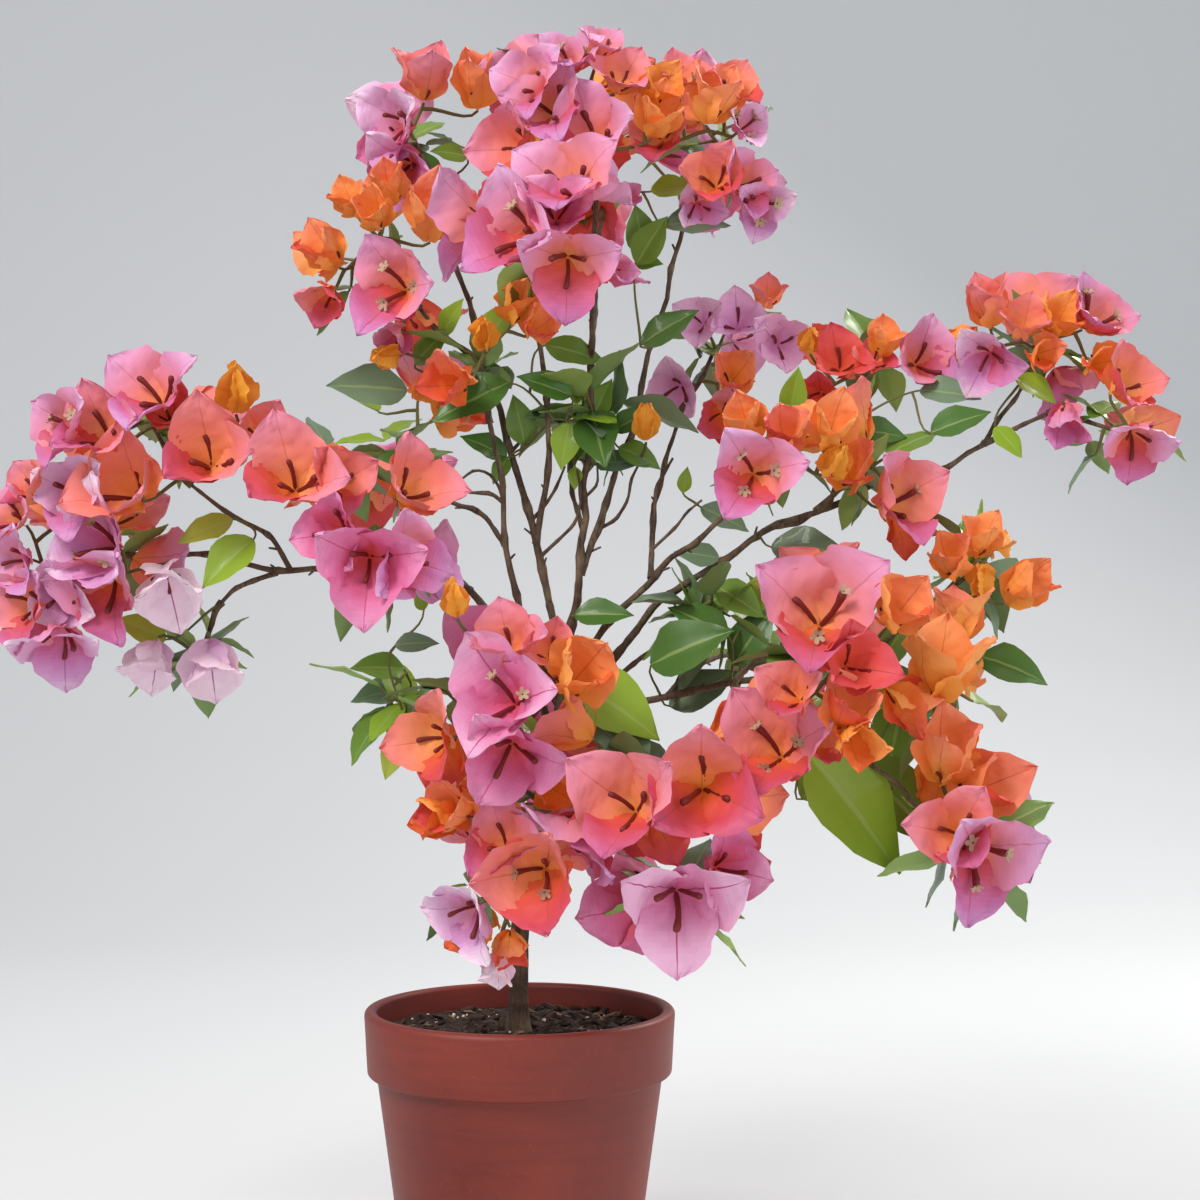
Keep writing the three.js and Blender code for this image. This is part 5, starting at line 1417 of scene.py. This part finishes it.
bare_paths = side_twigs() + spurs()
blooms = placed_blooms()
blooms += ruled_blooms(blooms)
for bloom in blooms:
    bloom.base = bloom.base + keep_inside(bract_grid([bloom]).reshape(-1, 3))
order = sorted(blooms, key=lambda b: min(np.linalg.norm(b.base - p) for p in b.mass.stem))
for bloom in order:
    grow_twig(bloom.base - bloom.axis * 1.5, bloom.axis, bloom.mass.name, twig_paths, 1.15, 0.75)


# Bracts

PIECE_TRIANGLES = 190000
BACK_FADE = 0.05
TONE_SEED = 31
HANGS_BELOW = -0.2


def tone_of(bloom, u, v):
    """How far along its family of colours a bract is: it turns quickly near the throat, then slowly."""
    far = np.minimum(u + 0.2 * v * v * (1 - u), 1)
    return bloom.first + (bloom.last - bloom.first) * (1 - (1 - far) ** 1.3) + bloom.shift


def bract_slots(bloom):
    """The number of the material of each face of a bloom's bracts, front and back."""
    random = random_from(bloom.seed + TONE_SEED)
    middle_u = (OUTLINE_U[1:] + OUTLINE_U[:-1]) / 2
    middle_v = np.abs(BRACT_V[1:] + BRACT_V[:-1]) / 2
    base_tone = tone_of(bloom, middle_u[:, None], middle_v[None, :])
    is_vein = np.arange(len(middle_v))[None, :] == len(middle_v) // 2
    side, lift = side_axes(bloom.axis)
    numbers = []
    for turn in bloom.turns():
        away = side * math.cos(turn) + lift * math.sin(turn)
        # Painted shade: a bract that hangs down takes its tones from the darker family
        hangs = 0.5 * bloom.axis[2] + 0.8 * away[2] < HANGS_BELOW
        family = "warm_low" if hangs and bloom.family == "warm" else bloom.family
        own = 0.16 * (random() - 0.5) * (bloom.last - bloom.first + 0.3)
        for sheet in (0, BACK_FADE):
            tone = np.clip(base_tone + own + sheet, 0, 0.999)
            skin = tone_start[family] + (tone * tone_count[family]).astype(int)
            vein = vein_start[family] + (tone * vein_count[family]).astype(int)
            numbers.append(np.where(is_vein, vein, skin).ravel())
    return numbers


def shells(grid, thickness):
    """Points and faces of one closed thin shell for each surface of a grid."""
    faces = shell_faces(*grid.shape[1:3])
    points = shell_points(grid, thickness)
    quads = faces[None] + np.arange(len(points))[:, None, None] * points.shape[1]
    return points.reshape(-1, 3), quads.reshape(-1, 4)


def build_bracts():
    by_slot = {}
    for bloom in blooms:
        by_slot.setdefault(SLOT_OF[bloom.tint], []).append(bloom)
    room = PIECE_TRIANGLES // (3 * 2 * len(shell_faces(len(OUTLINE_U), len(BRACT_V))))
    for slot, group in by_slot.items():
        for part, first in enumerate(range(0, len(group), room)):
            chosen = group[first:first + room]
            numbers = np.concatenate([row for bloom in chosen for row in bract_slots(bloom)])
            points, quads = shells(bract_grid(chosen), BRACT_THICKNESS)
            piece = mesh_object(f"{slot}s_{part + 1}", points, quads, bract_materials, numbers)
            drop_unused(piece)
            finished(piece, sorted({bloom.mass.name for bloom in chosen}))


def drop_unused(piece):
    """Keeps only the materials that a piece's faces use."""
    mesh = piece.data
    used = np.zeros(len(mesh.polygons), dtype=np.int32)
    mesh.polygons.foreach_get("material_index", used)
    kept, renumbered = np.unique(used, return_inverse=True)
    materials = [mesh.materials[int(k)] for k in kept]
    mesh.materials.clear()
    for material in materials:
        mesh.materials.append(material)
    mesh.polygons.foreach_set("material_index", renumbered.astype(np.int32))


# Flower tubes and their stars

TUBE_PROFILE = [
    (0, 0), (0.045, 0), (0.06, 0.12), (0.058, 0.4), (0.066, 0.65), (0.088, 0.86), (0.076, 0.96), (0, 1)]
TUBE_SIDES = 6
TUBE_LENGTHS = {"young": 13, "open": 19, "full": 21, "faded": 16}
# The length of a bract, in millimetres, that these tubes go with, and how much longer they are drawn
TUBES_FOR = 45
TUBE_STRETCH = 1.05
TUBE_SEED = 17
OPEN_SHARE = 0.85
STAR_POINTS = 20
STAR_RADII = (0.24, 0.42, 0.48, 0.42)
STAR_HEIGHTS = (0, 0.16, 0.12, 0.16)


def tube_shape():
    """A slim bowed tube one unit long, a little waisted, with a swollen tip."""
    points, quads = turned(TUBE_PROFILE, TUBE_SIDES)
    bowed = [(x + 0.05 * math.sin(math.pi * z), y, z) for x, y, z in points[2:]]
    return mesh_object("tube_shape", points[:2] + bowed, quads, [])


def star_shape():
    """A small open flower of five lobes, one unit wide, facing up."""
    points, quads = [(0, 0, -0.06), (0, 0, -0.26)], []
    for k in range(STAR_POINTS):
        turn = 2 * math.pi * k / STAR_POINTS
        lobe = STAR_RADII[k % 4]
        points.append((lobe * math.cos(turn), lobe * math.sin(turn), STAR_HEIGHTS[k % 4]))
        quads.append((0, 2 + k, 2 + (k + 1) % STAR_POINTS, -1))
        quads.append((1, 2 + (k + 1) % STAR_POINTS, 2 + k, -1))
    return mesh_object("star_shape", points, quads, [])


def build_flowers():
    """Three tubes in each throat, and stars on those that are open."""
    tubes, stars = ([], [], []), ([], [], [])
    for bloom in blooms:
        if bloom.age == "bud":
            continue
        random = random_from(bloom.seed + TUBE_SEED)
        side, lift = side_axes(bloom.axis)
        length = TUBE_LENGTHS[bloom.age] * bloom.length / TUBES_FOR * TUBE_STRETCH
        for turn in bloom.turns():
            away = side * math.cos(turn) + lift * math.sin(turn)
            lean = 0.42 + 0.3 * random()
            heading = unit(bloom.axis * math.cos(lean) + away * math.sin(lean))
            start = bloom.base + bloom.axis * 1.2 + away * 1.4
            size = length * (0.85 + 0.3 * random())
            for values, value in zip(tubes, (start, heading, (size * 1.05, size * 1.05, size))):
                values.append(value)
            if bloom.flowering and random() < OPEN_SHARE:
                wide = 7.2 + 1.8 * random()
                for values, value in zip(stars, (start + heading * size, heading, (wide, wide, wide))):
                    values.append(value)
    owners = sorted({bloom.mass.name for bloom in blooms})
    for name, shape, copies, material in (
            # The tubes glow a little in their own colour, as painted light
            ("flower_tubes", tube_shape(), tubes, plain("flower_tube", "#742420", 0.55, 0.04, 0.1)),
            ("flower_stars", star_shape(), stars, plain("flower_star", "#bca284", 0.7))):
        piece = copies_object(name, shape, *copies, material)
        bpy.data.objects.remove(shape)
        finished(piece, owners)


# Leaves

LEAF_U = np.array([0, 0.05, 0.14, 0.26, 0.4, 0.54, 0.68, 0.8, 0.9, 0.96, 1])
LEAF_W = np.array([0.06, 0.36, 0.68, 0.93, 1, 0.92, 0.72, 0.48, 0.25, 0.1, 0.02])
LEAF_V = np.array([-1, -0.72, -0.4, -0.07, 0.07, 0.4, 0.72, 1])
LEAF_THICKNESS = 0.4
PLACED_LEAF_SEED = 70001
SPRIG_SEED = 20011
LEAST_SPRIG = 8
LEAVES_OF_SPRIG = 3
SPRIGS_UNDER_BLOOMS = 2
# Sprigs are dealt these greens at random, painted lit, sheened and shaded ones among them
SPRIG_GREENS = ("mid", "deep", "bright", "grey", "bright", "mid")
leaves = []


def add_leaf(base, heading, up, length, green, owner, random):
    side = unit(np.cross(up, heading))
    leaves.append({
        "base": base, "heading": heading, "up": unit(np.cross(heading, side)), "side": side, "length": length,
        "green": green, "owner": owner, "droop": 0.05 + 0.2 * random(), "fold": 0.1 + 0.25 * random(),
        "phase": random(), "width": 0.27 + 0.07 * random()})


def leaf_grid(chosen):
    """The surfaces of these leaves: folded along the midrib, drooping, and wavy at the edge."""
    base, heading, up, side = (
        np.array([leaf[k] for leaf in chosen])[:, None, None] for k in ("base", "heading", "up", "side"))
    length, droop, fold, phase, width = (
        np.array([leaf[k] for leaf in chosen])[:, None, None, None]
        for k in ("length", "droop", "fold", "phase", "width"))
    u = LEAF_U[None, :, None, None]
    v = LEAF_V[None, None, :, None]
    half = width * LEAF_W[None, :, None, None]
    rise = fold * np.abs(v) * half - droop * u * u
    veins = 0.006 * np.cos(2 * np.pi * (4 * u - 1.1 * np.abs(v)))
    rise = rise + 0.02 * np.abs(v) * wave(2.1 * u + phase) + veins
    return base + heading * length * u + side * length * half * v + up * length * rise


def placed_leaves():
    for index, (px, py, way, length, green, back) in enumerate(LEAVES):
        random = random_from(PLACED_LEAF_SEED + index * 131)
        middle = seen_at(px, py, back)
        angle = math.radians(way)
        heading = unit(vec(math.cos(angle), -0.25 + 0.5 * (random() - 0.5), math.sin(angle)))
        up = unit(vec(0.2 * (random() - 0.5), -0.8, 0.55 + 0.3 * (random() - 0.5)))
        base = middle - heading * length * 0.5
        grow_twig(base, heading, "leaf", petiole_paths, 0.8, 0.5)
        add_leaf(base, heading, up, length, green, None, random)


def grow_sprig(mass, index, count):
    """The source's rule for a sprig: a twig with a leaf at its tip and one on each side."""
    random = random_from(mass.seed * SPRIG_SEED + index * 103)
    lift = 1 - 2 * (index + 0.5) / count
    turn = index * GOLDEN_ANGLE + 2 * mass.seed + (random() - 0.5)
    flat = math.sqrt(1 - lift * lift)
    outward = vec(flat * math.cos(turn), flat * math.sin(turn), lift)
    length = mass.leaf * (0.8 + 0.4 * random())
    if mass.name in BLOOMS and mass.tints and outward[1] < 0:
        outward[1] = -outward[1]
    out = max(LEAST_SPRIG, (mass.reach_towards(outward) - length) * (0.7 + 0.4 * random()))
    end = mass.at + outward * out
    start = place_on(mass.stem[1:], 0.12 + 0.5 * (index + 0.5) / count)
    grow_twig(end, outward, mass.name, twig_paths, 1.1, 0.6)
    spin = 2 * math.pi * random()
    for place in range(LEAVES_OF_SPRIG):
        at_tip = place == 0
        heading = outward.copy()
        if not at_tip:
            heading = lean_from(outward, 1 + 0.3 * random(), spin + place * math.pi)
        heading[2] += 0.25 - 0.7 * random()
        heading = unit(heading)
        side, lifted = side_axes(heading)
        up = unit(lifted + side * (random() - 0.5))
        base = end if at_tip else start + (end - start) * 0.62
        green = SPRIG_GREENS[int(random() * len(SPRIG_GREENS))]
        add_leaf(base, heading, up, length * (1 if at_tip else 0.85), green, mass.name, random)


def ruled_leaves():
    for mass in masses:
        count = math.ceil(mass.leaves / LEAVES_OF_SPRIG) + (SPRIGS_UNDER_BLOOMS if mass.tints else 0)
        for index in range(count):
            grow_sprig(mass, index, count)


def build_leaves():
    for leaf in leaves:
        leaf["base"] = leaf["base"] + keep_inside(leaf_grid([leaf]).reshape(-1, 3))
    names = list(GREENS)
    columns, rows = len(LEAF_V) - 1, len(LEAF_U) - 1
    indices = []
    for leaf in leaves:
        green = names.index(leaf["green"])
        front = np.full((rows, columns), green)
        front[:, columns // 2] = green + 2 * len(names)
        back = np.full((rows, columns), green + len(names))
        indices += [front.ravel(), back.ravel()]
    points, quads = shells(leaf_grid(leaves), LEAF_THICKNESS)
    piece = mesh_object("leaves", points, quads, leaf_materials, np.concatenate(indices))
    drop_unused(piece)
    finished(piece, mass_names)


# Build

finished(build_pot(), ["pot"])
finished(build_soil(), ["soil"])
build_soil_bits()
placed_leaves()
ruled_leaves()
build_leaves()
build_bracts()
build_flowers()

bark = bark_material()
green_bark = plain("young_twig", "#6c6a3c", 0.7)
# Wood: name, paths, how many sides, how deep and how fine its relief, material, and the nodes it stands for
WOOD = [
    ("trunk_bark", [(trunk_points, trunk_radii)], 24, 0.35, 160.0, bark, ["trunk"]),
    ("bough_bark", limb_paths + bare_paths, 10, 0.45, 260.0, bark, [row[0] for row in LIMBS]),
    ("stem_bark", stem_paths, 8, 0.4, 300.0, bark, mass_names),
    ("twigs", twig_paths, 6, 0.3, 300.0, green_bark, mass_names),
    ("leaf_stalks", petiole_paths, 5, 0.2, 300.0, green_bark, mass_names),
]
for name, paths, sides, relief, grain, material, nodes in WOOD:
    finished(paths_object(name, paths, sides, relief, grain, material), nodes)

# Stage, light and camera: a lamp's name, place, power, size and colour

STAGE_HALF_WIDTH = 4500
STAGE_FRONT = -2600
STAGE_BEND = 1200
STAGE_TOP = 4200
LOOK_AT = np.array((0.03, 0, 0.36))
SKY = (0.86, 0.9, 0.96, 1)
SKY_STRENGTH = 0.62
LAMPS = [
    ("key", (-0.9, -1.2, 1.8), 30, 0.8, (1, 0.97, 0.93)),
    ("back", (1.1, 0.9, 1.5), 30, 0.9, (1, 0.97, 0.92)),
    ("fill", (1.4, -1.2, 0.7), 6, 1.4, (0.93, 0.96, 1)),
]


def build_stage():
    """A pale floor that curves up behind into a wall."""
    bend = [(STAGE_FRONT, 0), (STAGE_BEND, 0)] + arc(STAGE_BEND, STAGE_BEND, STAGE_BEND, -80, 0, 9)
    bend.append((2 * STAGE_BEND, STAGE_TOP))
    points = [(x, y, z) for y, z in bend for x in (-STAGE_HALF_WIDTH, STAGE_HALF_WIDTH)]
    quads = [(2 * k, 2 * k + 1, 2 * k + 3, 2 * k + 2) for k in range(len(bend) - 1)]
    floor = mesh_object("floor", points, quads, [plain("floor", "#d2d3d4", 0.9)])


def build_light():
    world = bpy.data.worlds.new("studio")
    bpy.context.scene.world = world
    world.use_nodes = True
    background = world.node_tree.nodes["Background"]
    background.inputs[0].default_value = SKY
    background.inputs[1].default_value = SKY_STRENGTH
    for name, place, power, size, tint in LAMPS:
        lamp = bpy.data.lights.new(name, "AREA")
        lamp.energy, lamp.size, lamp.color = power, size, tint
        made = linked(name, lamp)
        made.location = place
        toward = LOOK_AT - np.array(place)
        tilt = math.atan2(math.hypot(toward[0], toward[1]), -toward[2])
        made.rotation_euler = (tilt, 0, math.atan2(toward[1], toward[0]) - math.pi / 2)


def build_camera():
    lens = bpy.data.cameras.new("camera")
    lens.lens, lens.sensor_width = LENS, SENSOR
    camera = linked("camera", lens)
    camera.location = CAMERA / 1000
    camera.rotation_euler = (math.pi / 2, 0, 0)
    bpy.context.scene.camera = camera
    bpy.context.scene.view_settings.view_transform = "Standard"


build_stage()
build_light()
build_camera()
